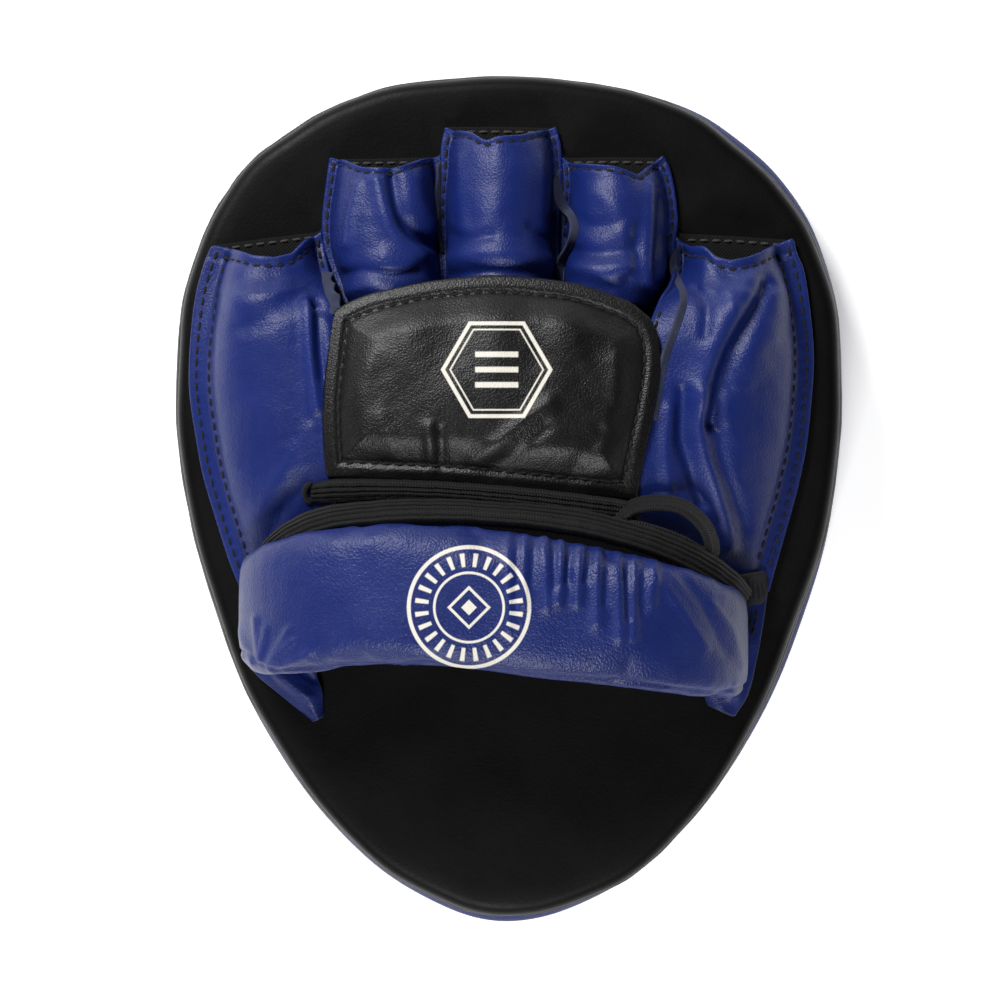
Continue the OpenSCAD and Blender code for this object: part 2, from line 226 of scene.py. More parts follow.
def grid_faces(rows, columns, start=0, close_columns=False):
    """The quads between the places of a grid that is stored row by row."""
    r = np.arange(rows - 1)[:, None]
    c = np.arange(columns if close_columns else columns - 1)[None, :]
    a = r * columns + c
    b = r * columns + (c + 1) % columns
    return np.stack([a, b, b + columns, a + columns], -1).reshape(-1, 4) + start


def mesh_object(name, points, faces, slots=None, uv=None, wear_and_highlight=None):
    """One smooth object from points in millimetres: doubles are merged, and faces turned
    outwards."""
    mesh = bpy.data.meshes.new(name)
    mesh.from_pydata((np.asarray(points) * MM).tolist(), [], [list(f) for f in faces])
    if slots is not None:
        mesh.polygons.foreach_set("material_index", np.asarray(slots, np.int32))
    # The attribute of painted highlight on proud folds and rubbed edges, for the leather's colour
    if wear_and_highlight is not None:
        layer = mesh.attributes.new("wear_and_highlight", "FLOAT", "POINT")
        layer.data.foreach_set("value", np.asarray(wear_and_highlight, np.float32).ravel())
    if uv is not None:
        layer = mesh.uv_layers.new(name="strip")
        corners = np.zeros(len(mesh.loops), np.int32)
        mesh.loops.foreach_get("vertex_index", corners)
        layer.data.foreach_set("uv", np.asarray(uv, np.float32)[corners].ravel())
    work = bmesh.new()
    work.from_mesh(mesh)
    bmesh.ops.remove_doubles(work, verts=work.verts, dist=1e-7)
    bmesh.ops.dissolve_degenerate(work, edges=work.edges, dist=1e-7)
    bmesh.ops.recalc_face_normals(work, faces=work.faces)
    if work.calc_volume(signed=True) < 0:
        bmesh.ops.reverse_faces(work, faces=work.faces)
    work.to_mesh(mesh)
    work.free()
    mesh.polygons.foreach_set("use_smooth", np.full(len(mesh.polygons), True))
    mesh.update()
    obj = bpy.data.objects.new(name, mesh)
    bpy.context.scene.collection.objects.link(obj)
    return obj


def between(name, top, bottom, wear_and_highlight=None, uv=None):
    """A closed piece from two grids, one over the other: both are meshed, and a rounded edge joins
    them, which bulges outwards by a third of the thickness there."""
    rows, columns = top.shape[:2]
    index = np.arange(rows * columns).reshape(rows, columns)
    loop = np.concatenate([index[0, :-1], index[:-1, -1], index[-1, :0:-1], index[:0:-1, 0]])
    inner = np.concatenate([
        index[1, :-1], index[:-1, -2], index[-2, :0:-1], index[:0:-1, 1]])
    t, b = top.reshape(-1, 3), bottom.reshape(-1, 3)
    thick = np.linalg.norm(t[loop] - b[loop], axis=1, keepdims=True)
    out = unit(t[loop] - t[inner])
    n = len(t)
    rings = [t[loop] * (1 - s) + b[loop] * s + out * thick * bulge
             for s, bulge in ((0.15, 0.22), (0.5, 0.36), (0.85, 0.22))]
    points = np.vstack([t, b] + rings)
    m = len(loop)
    chain = [loop, 2 * n + np.arange(m), 2 * n + m + np.arange(m), 2 * n + 2 * m + np.arange(m),
             loop + n]
    faces = [grid_faces(rows, columns), grid_faces(rows, columns, n)[:, ::-1]]
    for a, c in zip(chain[:-1], chain[1:]):
        faces.append(np.stack([a, c, np.roll(c, -1), np.roll(a, -1)], -1))
    counts = [len(faces[0]), len(faces[1]), sum(len(f) for f in faces[2:])]
    slots = np.repeat([0, 0, 1], counts)
    every = None
    if wear_and_highlight is not None:
        w = wear_and_highlight.ravel()
        # Painted highlight: the rounded edge is at least this pale, which also stands for rubbed
        # leather; the underside has none
        every = np.concatenate([w, w * 0] + [np.maximum(w[loop], 0.35)] * 3)
    coords = None
    if uv is not None:
        flat = uv.reshape(-1, 2)
        coords = np.vstack([flat, flat] + [flat[loop]] * 3)
    return mesh_object(name, points, np.vstack(faces), slots, coords, every)


def sheet_of(name, p, thickness):
    """Leather of one thickness: the grid is its upper face, and the lower face lies inside it."""
    return between(name, p, p - normals(p) * thickness)


def closed_skin(name, p):
    """A closed piece from rings of points: rings are closed, and the first and last shrink to a
    pole."""
    rows, columns = p.shape[:2]
    return mesh_object(name, p.reshape(-1, 3), grid_faces(rows, columns, 0, True))


def tube(name, line, radius, sides):
    """A round cord along a line, with rounded ends: rings across the line's direction."""
    d = unit(np.gradient(line, axis=0))
    side = unit(np.cross(d, np.array([0.0, 0.0, 1.0]) + d[:, ::-1] * 0.01))
    up = np.cross(side, d)
    turn = np.arange(sides) * 2 * math.pi / sides
    n = len(line)
    end = np.minimum(np.arange(n), n - 1 - np.arange(n))
    r = radius * np.sqrt(np.clip(1 - (1 - np.clip(end / 2, 0, 1)) ** 2, 0, 1))[:, None, None]
    across = side[:, None] * np.cos(turn)[:, None] + up[:, None] * np.sin(turn)[:, None]
    p = line[:, None] + r * across
    return closed_skin(name, p)


# Where thread and seam edges start their fall onto the leather, in millimetres
DROP_HEIGHT = 200.0


def tree_of(*objects):
    """A search tree over the faces of some objects, to lay thread on."""
    points, faces = [], []
    for obj in objects:
        start = len(points)
        points += [v.co.copy() for v in obj.data.vertices]
        faces += [[start + i for i in face.vertices] for face in obj.data.polygons]
    return BVHTree.FromPolygons(points, faces)


def laid(line, tree, lift=0.0):
    """A line in plan laid on what is under it, with the surface's normals: each place drops
    straight down, and a place that meets nothing takes the height of the one before."""
    places, ups = [], []
    last, up = Vector((0, 0, LINER_HIGH[2] * MM)), Vector((0, 0, 1))
    for x, y in line:
        hit, normal, _, _ = tree.ray_cast(Vector((x * MM, y * MM, DROP_HEIGHT * MM)),
                                          Vector((0, 0, -1)))
        if hit is not None:
            last, up = hit, normal
        places.append((x, y, last.z / MM + lift))
        ups.append(tuple(up))
    p, n = np.array(places), unit(np.array(ups))
    for _ in range(2):
        p[1:-1, 2] = p[1:-1, 2] * 0.5 + (p[:-2, 2] + p[2:, 2]) * 0.25
        n[1:-1] = n[1:-1] * 0.5 + (n[:-2] + n[2:]) * 0.25
    return p, unit(n)


# The distance between the places where a row of stitches is laid on the leather, in millimetres;
# then each stitch's rings, their sides and its points
LAYING_STEP = 0.9
STITCH_RINGS = 5
STITCH_SIDES = 6
STITCH_POINTS = STITCH_RINGS * STITCH_SIDES


def stitch_row(p, n, pitch, length, radius):
    """The points and faces of a row of stitches along a line in space: each stitch is a spindle of
    five six-sided rings, thick in the middle and dipping into the leather at its two ends."""
    run = run_along(p)
    count = max(1, int((run[-1] - length) / pitch) + 1)
    centre = (run[-1] - (count - 1) * pitch) / 2 + np.arange(count) * pitch
    place = np.array([-1.0, -0.72, 0.0, 0.72, 1.0])
    full = np.array([0.25, 0.85, 1.0, 0.85, 0.25])
    sink = np.array([-0.9, -0.05, 0.35, -0.05, -0.9])
    at = centre[:, None] + place * length / 2
    c = np.stack([np.interp(at, run, p[:, k]) for k in range(3)], -1)
    up = unit(np.stack([np.interp(at, run, n[:, k]) for k in range(3)], -1))
    along = unit(np.broadcast_to((c[:, -1:] - c[:, :1]), c.shape))
    side = unit(np.cross(along, up))
    c = c + up * (sink * radius)[None, :, None]
    turn = np.arange(STITCH_SIDES) * math.pi / 3
    rings = c[:, :, None] + radius * full[None, :, None, None] * (
        side[:, :, None] * np.cos(turn)[:, None] + up[:, :, None] * np.sin(turn)[:, None])
    points = rings.reshape(-1, 3)
    one = grid_faces(STITCH_RINGS, STITCH_SIDES, 0, True)
    faces = (one[None] + (np.arange(count) * STITCH_POINTS)[:, None, None]).reshape(-1, 4)
    return points, faces


def sewn(name, rows, tree, material, body, pitch=None):
    """Rows of stitches in plan, laid on a surface and joined as one piece."""
    size = sizes()
    points, faces, start = [], [], 0
    for row in rows:
        steps = int(run_along(np.array(row))[-1] / LAYING_STEP)
        line = curve(row, max(8, steps))
        p, n = laid(line, tree)
        got, quads = stitch_row(p, n, pitch or size.stitch_pitch, size.stitch_length, size.thread)
        points.append(got)
        faces.append(quads + start)
        start += len(got)
    flat = np.vstack(points)
    quads = np.vstack(faces)
    ends = np.arange(0, len(flat), STITCH_POINTS)[:, None]
    ring = np.arange(STITCH_SIDES)
    caps = [*(ends + ring[::-1]), *(ends + STITCH_POINTS - STITCH_SIDES + ring)]
    obj = mesh_object(name, flat, [*quads, *caps])
    return finish_piece(obj, body, (), [material])


def finish_piece(obj, body, replaced=(), finishes=()):
    """Gives a piece its finishes in its slots and hides the CAD nodes it stands for. A piece whose
    body is a name is attached to that body; any other has its placement baked into its mesh.
    """
    for name in finishes:
        obj.data.materials.append(finish(name))
    if isinstance(body, str):
        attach(obj, body)
    else:
        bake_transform(obj)
    if replaced:
        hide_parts(*replaced)
    return obj


# ---- materials ----------------------------------------------------------------------------------

class Term:
    """A socket that takes part in arithmetic: each operator adds a Math node and gives its
    result."""

    def __init__(self, graph, socket):
        self.graph = graph
        self.socket = socket

    def maths(self, operation, *others, first=None):
        values = [self, *others] if first is None else [first, self]
        node = self.graph.add("ShaderNodeMath", {"operation": operation}, dict(enumerate(values)))
        return Term(self.graph, node.outputs[0])

    def __add__(self, other):
        return self.maths("ADD", other)

    __radd__ = __add__

    def __sub__(self, other):
        return self.maths("SUBTRACT", other)

    def __rsub__(self, other):
        return self.maths("SUBTRACT", first=other)

    def __mul__(self, other):
        return self.maths("MULTIPLY", other)

    __rmul__ = __mul__

    def __truediv__(self, other):
        return self.maths("DIVIDE", other)

    def __pow__(self, other):
        return self.maths("POWER", other)

    def __abs__(self):
        return self.maths("ABSOLUTE")

    def clamped(self):
        return self.maths("MAXIMUM", 0.0).maths("MINIMUM", 1.0)

    def band(self, centre, half, soft):
        """1 within half of the centre, falling to 0 over soft."""
        return ((half - abs(self - centre)) / soft + 0.5).clamped()


class Graph:
    """The node tree of a material or a world, with one way to add any node."""

    def __init__(self, owner, shader="Principled BSDF"):
        owner.use_nodes = True
        self.material = owner
        self.tree = owner.node_tree
        self.shader = self.tree.nodes[shader]

    def add(self, kind, settings=None, values=None):
        node = self.tree.nodes.new(kind)
        for key, value in (settings or {}).items():
            setattr(node, key, value)
        for key, value in (values or {}).items():
            self.feed(node.inputs[key], value)
        return node

    def feed(self, socket, value):
        if isinstance(value, Term):
            self.tree.links.new(value.socket, socket)
        elif isinstance(value, bpy.types.NodeSocket):
            self.tree.links.new(value, socket)
        else:
            socket.default_value = value

    def place(self, scale=(1.0, 1.0, 1.0)):
        """The object's own coordinates in millimetres, stretched by a scale."""
        coords = self.add("ShaderNodeTexCoord")
        node = self.add("ShaderNodeMapping", {}, {
            "Vector": coords.outputs["Object"],
            "Scale": tuple(s / MM for s in scale),
        })
        return node.outputs[0]

    def noise(self, size, detail=3.0, rough=0.55, where=None):
        """Noise from about 0 to 1 with features of the given size in millimetres."""
        node = self.add("ShaderNodeTexNoise", {}, {
            "Vector": where or self.place(), "Scale": 1.0 / size, "Detail": detail,
            "Roughness": rough})
        return Term(self, node.outputs["Fac"])

    def cells(self, size):
        """The distance to the nearest of scattered centres that lie about the given size apart."""
        node = self.add("ShaderNodeTexVoronoi", {}, {"Vector": self.place(), "Scale": 1.0 / size})
        return Term(self, node.outputs["Distance"])

    def attribute(self, name):
        return Term(self, self.add("ShaderNodeAttribute", {"attribute_name": name}).outputs["Fac"])

    def axes(self, vector):
        node = self.add("ShaderNodeSeparateXYZ", {}, {0: vector})
        return [Term(self, node.outputs[k]) for k in range(3)]

    def mix(self, factor, a, b):
        node = self.add("ShaderNodeMix", {"data_type": "RGBA"}, {0: factor, 6: a, 7: b})
        return node.outputs[2]

    def coat(self, base, rough, normal, shine=None, sheen=None):
        """Feeds the surface's colour, its roughness kept from 0 to 1, its normal and its two
        shines."""
        inputs = self.shader.inputs
        self.feed(inputs["Base Color"], base)
        self.feed(inputs["Roughness"], rough.clamped())
        self.feed(inputs["Normal"], normal)
        if shine is not None:
            inputs["Specular IOR Level"].default_value = shine
        if sheen is not None:
            inputs["Sheen Weight"].default_value = sheen
        return self.material

    def bump(self, height, strength, depth, under=None):
        values = {"Height": height, "Strength": strength, "Distance": depth * MM}
        if under is not None:
            values["Normal"] = under
        return self.add("ShaderNodeBump", {}, values).outputs[0]


def shade(colour, factor):
    """A colour times a factor, up to 1, as RGBA."""
    return tuple(min(1.0, c * factor) for c in colour) + (1.0,)


def leather(name, colour, grain, roughness, wear_and_highlight_amount=0.35, mark=None, shine=0.30, relief=0.5):
    """Finished leather: a pebbled grain of two cell sizes broken by pores, soft unevenness, a
    little variation of colour and gloss, and paler leather where folds stand proud, a painted
    highlight, and along the pieces' rubbed edges."""
    g = Graph(bpy.data.materials.new(name))
    pebble = g.cells(grain) + g.cells(grain * 0.55) * 0.5
    pores = g.noise(grain * 0.5, 2.0)
    broad = g.noise(26.0, 4.0, 0.6)
    patchy = g.noise(7.0, 4.0, 0.65)
    # The attribute of painted highlight on proud folds, which also stands for rubbed edges
    proud = g.attribute("wear_and_highlight")
    height = pebble * 0.75 + pores * 0.35
    normal = g.bump(patchy, 0.06, 0.8)
    normal = g.bump(height, relief, 0.17, normal)
    tone = (broad * 0.75 + patchy * 0.35 - 0.05).clamped()
    base = g.mix(tone, shade(colour, 0.72), shade(colour, 1.30))
    # Painted highlight: the colour is paler where folds stand proud, and along rounded edges, where
    # it also stands for rubbed leather
    base = g.mix((proud * wear_and_highlight_amount).clamped(), base, shade([c * 1.2 + 0.006 for c in colour], 1.2))
    base = g.mix(((pores - 0.45) * 1.5).clamped(), base, shade(colour, 0.7))
    gloss = roughness + (broad - 0.5) * 0.16 + (patchy - 0.5) * 0.14 + pebble * 0.06
    if mark is not None:
        cover = mark(g) * (1 - ((g.noise(1.1, 3.0) - 0.66) * 5).clamped() * 0.5)
        base = g.mix(cover, base, tuple(colours().print_white) + (1.0,))
        gloss = gloss + cover * 0.12
    return g.coat(base, gloss, normal, shine)


def suede(name, colour):
    """The leather's raw flesh side: short matted fibres, uneven in colour and quite matte."""
    g = Graph(bpy.data.materials.new(name))
    fibre = g.noise(0.5, 5.0, 0.7)
    patch = g.noise(3.0, 3.0)
    tone = (fibre * 0.7 + patch * 0.5 - 0.1).clamped()
    base = g.mix(tone, shade(colour, 0.5), shade(colour, 1.7))
    return g.coat(base, 0.82 + fibre * 0.15, g.bump(fibre, 0.7, 0.35), 0.2, 0.05)


def knitted(name, colour):
    """Ribbed elastic: fine knitted loops that run along the strip, in V-shaped pairs across each
    rib, with a dusting of lint. Its colour is darker in the grooves and paler on the crests of the
    loops and ribs, as painted shade and highlight; the lint is paler fibre. It follows the piece's
    own strip map, in millimetres."""
    g = Graph(bpy.data.materials.new(name))
    uv = g.add("ShaderNodeUVMap", {"uv_map": "strip"})
    along, across, _ = g.axes(uv.outputs[0])
    slant = along + abs((across * 0.9).maths("FRACT") - 0.5) * 1.1
    loops = ((slant * 7.5).maths("SINE") + 1) * 0.5
    ribs = ((across * 2 * math.pi * 0.9).maths("COSINE") + 1) * 0.5
    lint = ((g.noise(0.35, 4.0, 0.7) - 0.56) * 6).clamped()
    # Painted shade and highlight: the knit's colour follows the heights of its loops and ribs,
    # darker in the grooves
    tone = (loops * 0.6 + ribs * 0.3 + lint * 0.5).clamped()
    base = g.mix(tone, shade(colour, 0.35), shade(colour, 2.6))
    return g.coat(base, 0.62 + lint * 0.3, g.bump(loops * 0.7 + ribs * 0.5, 0.8, 0.30), 0.2, 0.03)


def woven(name, colour, size=0.55):
    """Lining cloth or thread: a plain weave of crossing threads with a soft nap. Its colour is
    darker where the weave's threads dip, a painted shade, and the nap varies it unevenly.
    """
    g = Graph(bpy.data.materials.new(name))
    x, y, z = g.axes(g.place())
    weave = (x * (math.pi / size)).maths("SINE") * ((y + z) * (math.pi / size)).maths("SINE")
    nap = g.noise(0.8, 4.0, 0.7)
    # Painted shade: the weave darkens the colour between crossing threads; the nap is uneven colour
    base = g.mix((weave * 0.35 + nap * 0.7).clamped(), shade(colour, 0.6), shade(colour, 2.2))
    return g.coat(base, 0.7 + nap * 0.25, g.bump(weave + nap, 0.5, 0.2), 0.2, 0.02)


def cellular(name, colour):
    """Foam: open cells of mixed size, matte, with painted shade darkening the hollows of its cells.
    """
    g = Graph(bpy.data.materials.new(name))
    cell = g.cells(1.6)
    fine = g.noise(0.7, 3.0)
    # Painted shade: the colour is darker towards each cell's hollow middle
    base = g.mix((cell + fine * 0.3).clamped(), shade(colour, 0.55), shade(colour, 1.1))
    return g.coat(base, 0.85 + fine * 0.1, g.bump(cell, 0.6, 0.6))


def pressed_board(name, colour):
    """Fibre board: long pressed fibres along its length, with flecks."""
    g = Graph(bpy.data.materials.new(name))
    fibre = g.noise(1.2, 5.0, 0.7, g.place((1.0, 0.12, 1.0)))
    fleck = g.noise(4.0, 2.0)
    tone = (fibre * 0.8 + fleck * 0.3 - 0.05).clamped()
    base = g.mix(tone, shade(colour, 0.6), shade(colour, 1.35))
    return g.coat(base, 0.65 + fibre * 0.25, g.bump(fibre, 0.4, 0.2))


def hexagon_mark(g):
    """A plain mark: two nested hexagon outlines round three short bars."""
    x, y, z = g.axes(g.place())
    x, y = abs(x + 4.0), y - 37.5
    flat = (x * 0.866 + abs(y) * 0.5).maths("MAXIMUM", abs(y))
    rings = flat.band(13.4, 0.55, 0.25).maths("MAXIMUM", flat.band(11.6, 0.22, 0.25))
    rows = y.band(0.0, 0.8, 0.3).maths("MAXIMUM", abs(y).band(4.4, 0.8, 0.3))
    bars = rows * x.band(0.0, 6.2, 0.3)
    return rings.maths("MAXIMUM", bars) * (z - 74.0).clamped()


def dial_mark(g):
    """A plain mark: two rings with short radial ticks between them, round a lozenge."""
    x, y, z = g.axes(g.place())
    x, y = x + 11.8, y + 30.3
    r = (x * x + y * y) ** 0.5
    turn = y.maths("ARCTAN2", x) * (24 / (2 * math.pi))
    ticks = abs(turn.maths("FRACT") - 0.5).band(0.0, 0.17, 0.08) * r.band(13.4, 1.9, 0.3)
    rings = r.band(17.0, 0.55, 0.25).maths("MAXIMUM", r.band(9.8, 0.35, 0.25))
    lozenge = abs(x) + abs(y)
    middle = lozenge.band(5.6, 0.55, 0.25).maths("MAXIMUM", lozenge.band(0.0, 2.2, 0.25))
    return rings.maths("MAXIMUM", ticks).maths("MAXIMUM", middle) * (z - 89.0).clamped()


FINISHES = {}


def finish(name):
    """The material with that name, made the first time it is asked for."""
    tint = colours()
    makers = {
        "blue_leather": lambda n: leather(n, tint.blue, 0.68, 0.38, relief=0.65),
        "cuff_leather": lambda n: leather(n, tint.blue, 0.75, 0.38, 0.4, dial_mark, 0.34, 0.85),
        "panel_leather": lambda n: leather(n, tint.black, 0.62, 0.37, 0.5, hexagon_mark, 0.36, 0.7),
        "back_leather": lambda n: leather(n, tint.black, 0.8, 0.44, 0.3, None, 0.11, 0.2),
        "raw_edge": lambda n: suede(n, tint.suede),
        "elastic": lambda n: knitted(n, tint.elastic),
        "lining": lambda n: woven(n, tint.lining),
        "thread": lambda n: woven(n, (0.010, 0.010, 0.012), 0.3),
        "pale_thread": lambda n: woven(n, (0.045, 0.042, 0.040), 0.3),
        "foam": lambda n: cellular(n, tint.foam),
        "board": lambda n: pressed_board(n, tint.board),
    }
    if name not in FINISHES:
        FINISHES[name] = makers[name](name)
    return FINISHES[name]


# ---- target -------------------------------------------------------------------------------------

# The outline's powers at its finger and wrist ends, the middle its rings shrink to, and its places
EGG_POWERS = (2.42, 1.85)
EGG_MIDDLE = np.array([0.0, 10.0])
EGG_PLACES = 300


def egg(angle, inset):
    """The target's outline in plan: two half superellipses that meet on its widest line, drawn
    in."""
    s = sizes()
    finger_end = np.sin(angle) >= 0
    reach = np.where(finger_end, s.pad_length / 2 - s.wide_line,
                     s.pad_length / 2 + s.wide_line) - inset
    power = 2 / np.where(finger_end, *EGG_POWERS)
    c, n = np.cos(angle), np.sin(angle)
    x = (s.pad_width / 2 - inset) * np.sign(c) * np.abs(c) ** power
    y = s.wide_line + reach * np.sign(n) * np.abs(n) ** power
    return np.stack([x, y], -1)


def egg_angles(count):
    """Angles that space the outline's points evenly along its length."""
    t = np.linspace(0, 2 * math.pi, 2881)
    p = egg(t, 0)
    run = run_along(p)
    return np.interp(np.linspace(0, run[-1], count, endpoint=False), run, t)


def offset_of_back(angle):
    """How far the black back lies inside the striking cover: most at the upper right and at the
    wrist end, a little at the lower left and the lower right."""
    def near(at, width):
        return np.exp(-((np.mod(angle - at + math.pi, 2 * math.pi) - math.pi) / width) ** 2)
    return (1.5 * near(-0.55, 0.35) + 2.4 * near(0.75, 0.5) + 2.3 * near(-1.6, 0.35)
            + 0.9 * near(-2.3, 0.4))


def egg_rings(angle, levels, draw, ripple=0.0):
    """Rings of the outline: each level is (share of the way out from the middle, inset, height)."""
    rings = []
    for share, inset, z in levels:
        wave = ripple * share * (
            np.sin(9 * angle + 1.0) + np.sin(14 * angle + 2.2) + 0.7 * np.sin(23 * angle))
        out = egg(angle, 0)
        flat = egg(angle, inset) - unit(out - EGG_MIDDLE) * (draw * share + wave)[:, None]
        xy = EGG_MIDDLE + (flat - EGG_MIDDLE) * share
        rings.append(np.column_stack([xy, np.full(len(angle), z)]))
    return np.array(rings)


def inner_face(outside, wall, height):
    """The levels of a cover's inside, in reverse: its outside drawn in by the wall, at other
    heights."""
    drawn_in = outside[::-1] * np.array([1, 1, 0]) + np.array([0, wall, 0])
    return drawn_in + height[:, None] * np.array([0, 0, 1])


def make_back_cover():
    """The back: a flat, faintly uneven top and a rounded fall to its rim, with the wall's
    inside."""
    s = sizes()
    angle = egg_angles(EGG_PLACES)
    top, rim, wall = s.back_height, s.rim_height, s.cover
    over = np.vstack([
        np.column_stack([np.linspace(0.0, 0.97, 26), np.full(26, 6.5),
                         np.linspace(top + 0.1, top, 26)]),
        curve([(1, 6.5, top - 0.05), (1, 4.6, top - 0.5), (1, 3.0, top - 1.9), (1, 2.2, top - 4.2),
              (1, 1.9, rim + 2), (1, 2.2, rim)], 16),
    ])
    under = inner_face(over, wall, np.clip(over[::-1, 2] - wall, rim, top - wall))
    draw = offset_of_back(angle)
    p = egg_rings(angle, np.vstack([over, under]), draw, 0.22)
    place = p[..., :2]
    flat = np.concatenate([np.ones(26), np.zeros(len(p) - 26)])[:, None]
    p[..., 2] += flat * 0.22 * crumple(place, 34, 11) * (p[..., 2] > top - 0.5)
    p[..., 2] = np.minimum(p[..., 2], top + 0.25)
    obj = closed_skin("back_skin", p)
    return finish_piece(obj, "pad", ["back_cover"], ["back_leather"])


def make_gusset():
    """The side wall: a bowed band between the two seams, sagging in waves round its length."""
    s = sizes()
    angle = egg_angles(EGG_PLACES)
    low, high, wall = s.seam_height, s.rim_height, s.cover
    outside = curve([(1, 1.0, low), (1, 0.1, low + 1.2), (1, -0.2, low + 4),
                     (1, 0.2, (low + high) / 2),
                    (1, 1.2, high - 2), (1, 2.6, high)], 18)
    inside = outside[::-1] + np.array([0, wall, 0])
    rings = egg_rings(angle, np.vstack([outside, inside]), offset_of_back(angle), 0.18)
    p = np.concatenate([rings, rings[:1]])
    sag = crumple(np.stack([angle * 100, angle * 0], -1), 14, 5)
    p[:18, :, :2] += unit(p[:18, :, :2]) * (0.18 * sag)[None, :, None]
    p[-1] = p[0]
    obj = closed_skin("gusset_skin", p)
    return finish_piece(obj, "pad", ["side_gusset"], ["back_leather"])


def make_strike_cover():
    """The striking cover: a rounded side that falls to a flat face, drawn in under the side
    seam."""
    s = sizes()
    angle = egg_angles(EGG_PLACES)
    seam, wall = s.seam_height, s.cover
    draw = offset_of_back(angle)
    outside = np.vstack([
        curve([(1, 0.9, seam), (1, 0.1, seam - 1.2), (1, -0.5, seam * 0.72),
               (1, 0.4, seam * 0.45), (1, 2.2, 3.6),
              (1, 5.6, 1.0), (1, 9.5, 0.0)], 24),
        np.column_stack([np.linspace(0.97, 0.0, 24), np.full(24, 9.5), np.zeros(24)]),
    ])
    height = outside[::-1, 2] * (seam - wall) / seam + wall
    inside = inner_face(outside, wall, np.clip(height, wall, seam))
    levels = np.vstack([outside, inside])
    rings = egg_rings(angle, levels, draw * 0, 0.12)
    lift = np.clip((levels[:, 2] - seam * 0.8) / (seam * 0.2), 0, 1)
    place = unit(rings[..., :2] - EGG_MIDDLE)
    outer = (levels[:, 0] > 0.5)[:, None]
    rings[..., :2] -= place * (0.55 * lift[:, None] * draw * outer)[..., None]
    p = np.concatenate([rings, rings[:1]])
    obj = closed_skin("strike_skin", p)
    return finish_piece(obj, "pad", ["strike_cover"], ["blue_leather"])


# ---- glove --------------------------------------------------------------------------------------

def hood_top(x, y):
    """Height of the bare hood over a place in plan: half an ellipse across, whose sides and height
    follow cubics along the hand."""
    s = sizes()
    rows = np.array([-22.0, 0.0, 35.0, 62.0])
    left, right, share = (
        np.polyval(np.polyfit(rows, values, 3), y)
        for values in ([-76.5, -84.0, -91.0, -88.0], [75.0, 82.0, 87.0, 85.0],
                       [0.72, 0.97, 1.0, 0.83]))
    across = (x - (left + right) / 2) / ((right - left) / 2)
    return LINER_HIGH[2] + s.hood_height * share * np.sqrt(np.clip(1 - across ** 2, 0, 1))


class Stall:
    """One stall's shape: the paths of its left and right edges in space from mouth to root, the
    widths of its sewn flanges, its height along the way, the shape of its hem and its folds."""

    def __init__(self, left, right, flanges, rise, hem, creases, seed, lean=(0.5, 0.5)):
        self.left = left
        self.right = right
        self.flanges = flanges
        self.rise = rise
        self.hem = hem
        self.creases = creases
        self.lean = lean
        self.seed = seed


# Rows of the grid on each of a stall's two sewn flanges, and the height of its leather's soft
# unevenness
FLANGE_ROWS = 9
STALL_UNEVENNESS = 0.26


def along_stall(values, v):
    """A value that changes along a stall, from (place, value) pairs, or one that doesn't change."""
    if np.ndim(values) == 0:
        return np.full(len(v), values)
    return np.interp(v, *np.array(values, float).T)


def stall_surface(stall, rows, columns):
    """The stall's upper face. Across it, a flat flange, then an arch over the chord between the
    edges, whose height is rise * t^a * (1-t)^b scaled to 1 at its top, then the other flange. Its
    front edge follows the hem, which fades out behind the mouth, and its folds are laid over it in
    plan."""
    v = np.linspace(0, 1, columns)
    left, right = curve(stall.left, columns), curve(stall.right, columns)
    width = np.linalg.norm(right - left, axis=1)
    f0 = along_stall(stall.flanges[0], v)
    f1 = along_stall(stall.flanges[1], v)
    edge = FLANGE_ROWS
    middle = rows - 2 * edge
    t = (1 - np.cos(np.linspace(0, math.pi, middle))) / 2
    t = 0.55 * t + 0.45 * np.linspace(0, 1, middle)
    flat = np.linspace(0, 1, edge, endpoint=False)
    s = np.vstack([
        flat[:, None] * f0,
        f0 + t[:, None] * (width - f0 - f1),
        width - f1 + (flat[:, None] + 1 / edge) * f1,
    ])
    share = s / width
    p = left + (right - left) * share[..., None]
    a, b = (along_stall(power, v) for power in stall.lean)
    peak = (a / (a + b)) ** a * (b / (a + b)) ** b
    whole = np.clip((s - f0) / (width - f0 - f1), 0, 1)
    arch = whole ** a * (1 - whole) ** b / peak
    p[..., 2] += along_stall(stall.rise, v) * arch
    hem = along_stall(stall.hem, share[:, 0])
    p[..., 1] += hem[:, None] * ease(1 - v / 0.34)[None, :]
    p = relaxed(p, 3)
    xy = p[..., :2]
    height = folds(xy, stall.creases)
    calm = np.clip(arch, 0, 1) ** 0.6
    height = height * np.clip(calm * 1.6, 0.15, 1)
    height = height + STALL_UNEVENNESS * crumple(xy, 15, stall.seed) * calm
    height += 0.07 * crumple(xy, 5, stall.seed + 40) * calm
    hem_line = np.exp(-((v - 0.028) / 0.012) ** 2)[None, :] * 0.35
    rolled = np.exp(-(v / 0.014) ** 2)[None, :] * 0.35
    n = -normals(p)
    p = p + n * (height - hem_line + rolled)[..., None]
    # Painted highlight on the fold tops, and a paler rubbed hem along the mouth
    wear_and_highlight = np.clip(height * 0.55, 0, 1) + np.exp(-(v / 0.012) ** 2)[None, :] * 0.5
    return p, wear_and_highlight, n


# The height of the seams that sew the stalls to the target's back
SEAM_Z = 47.6


def sewn_down(*points):
    """Points of an edge in space: those given in plan only lie at the height of the seam."""
    return [(*point, SEAM_Z)[:3] for point in points]


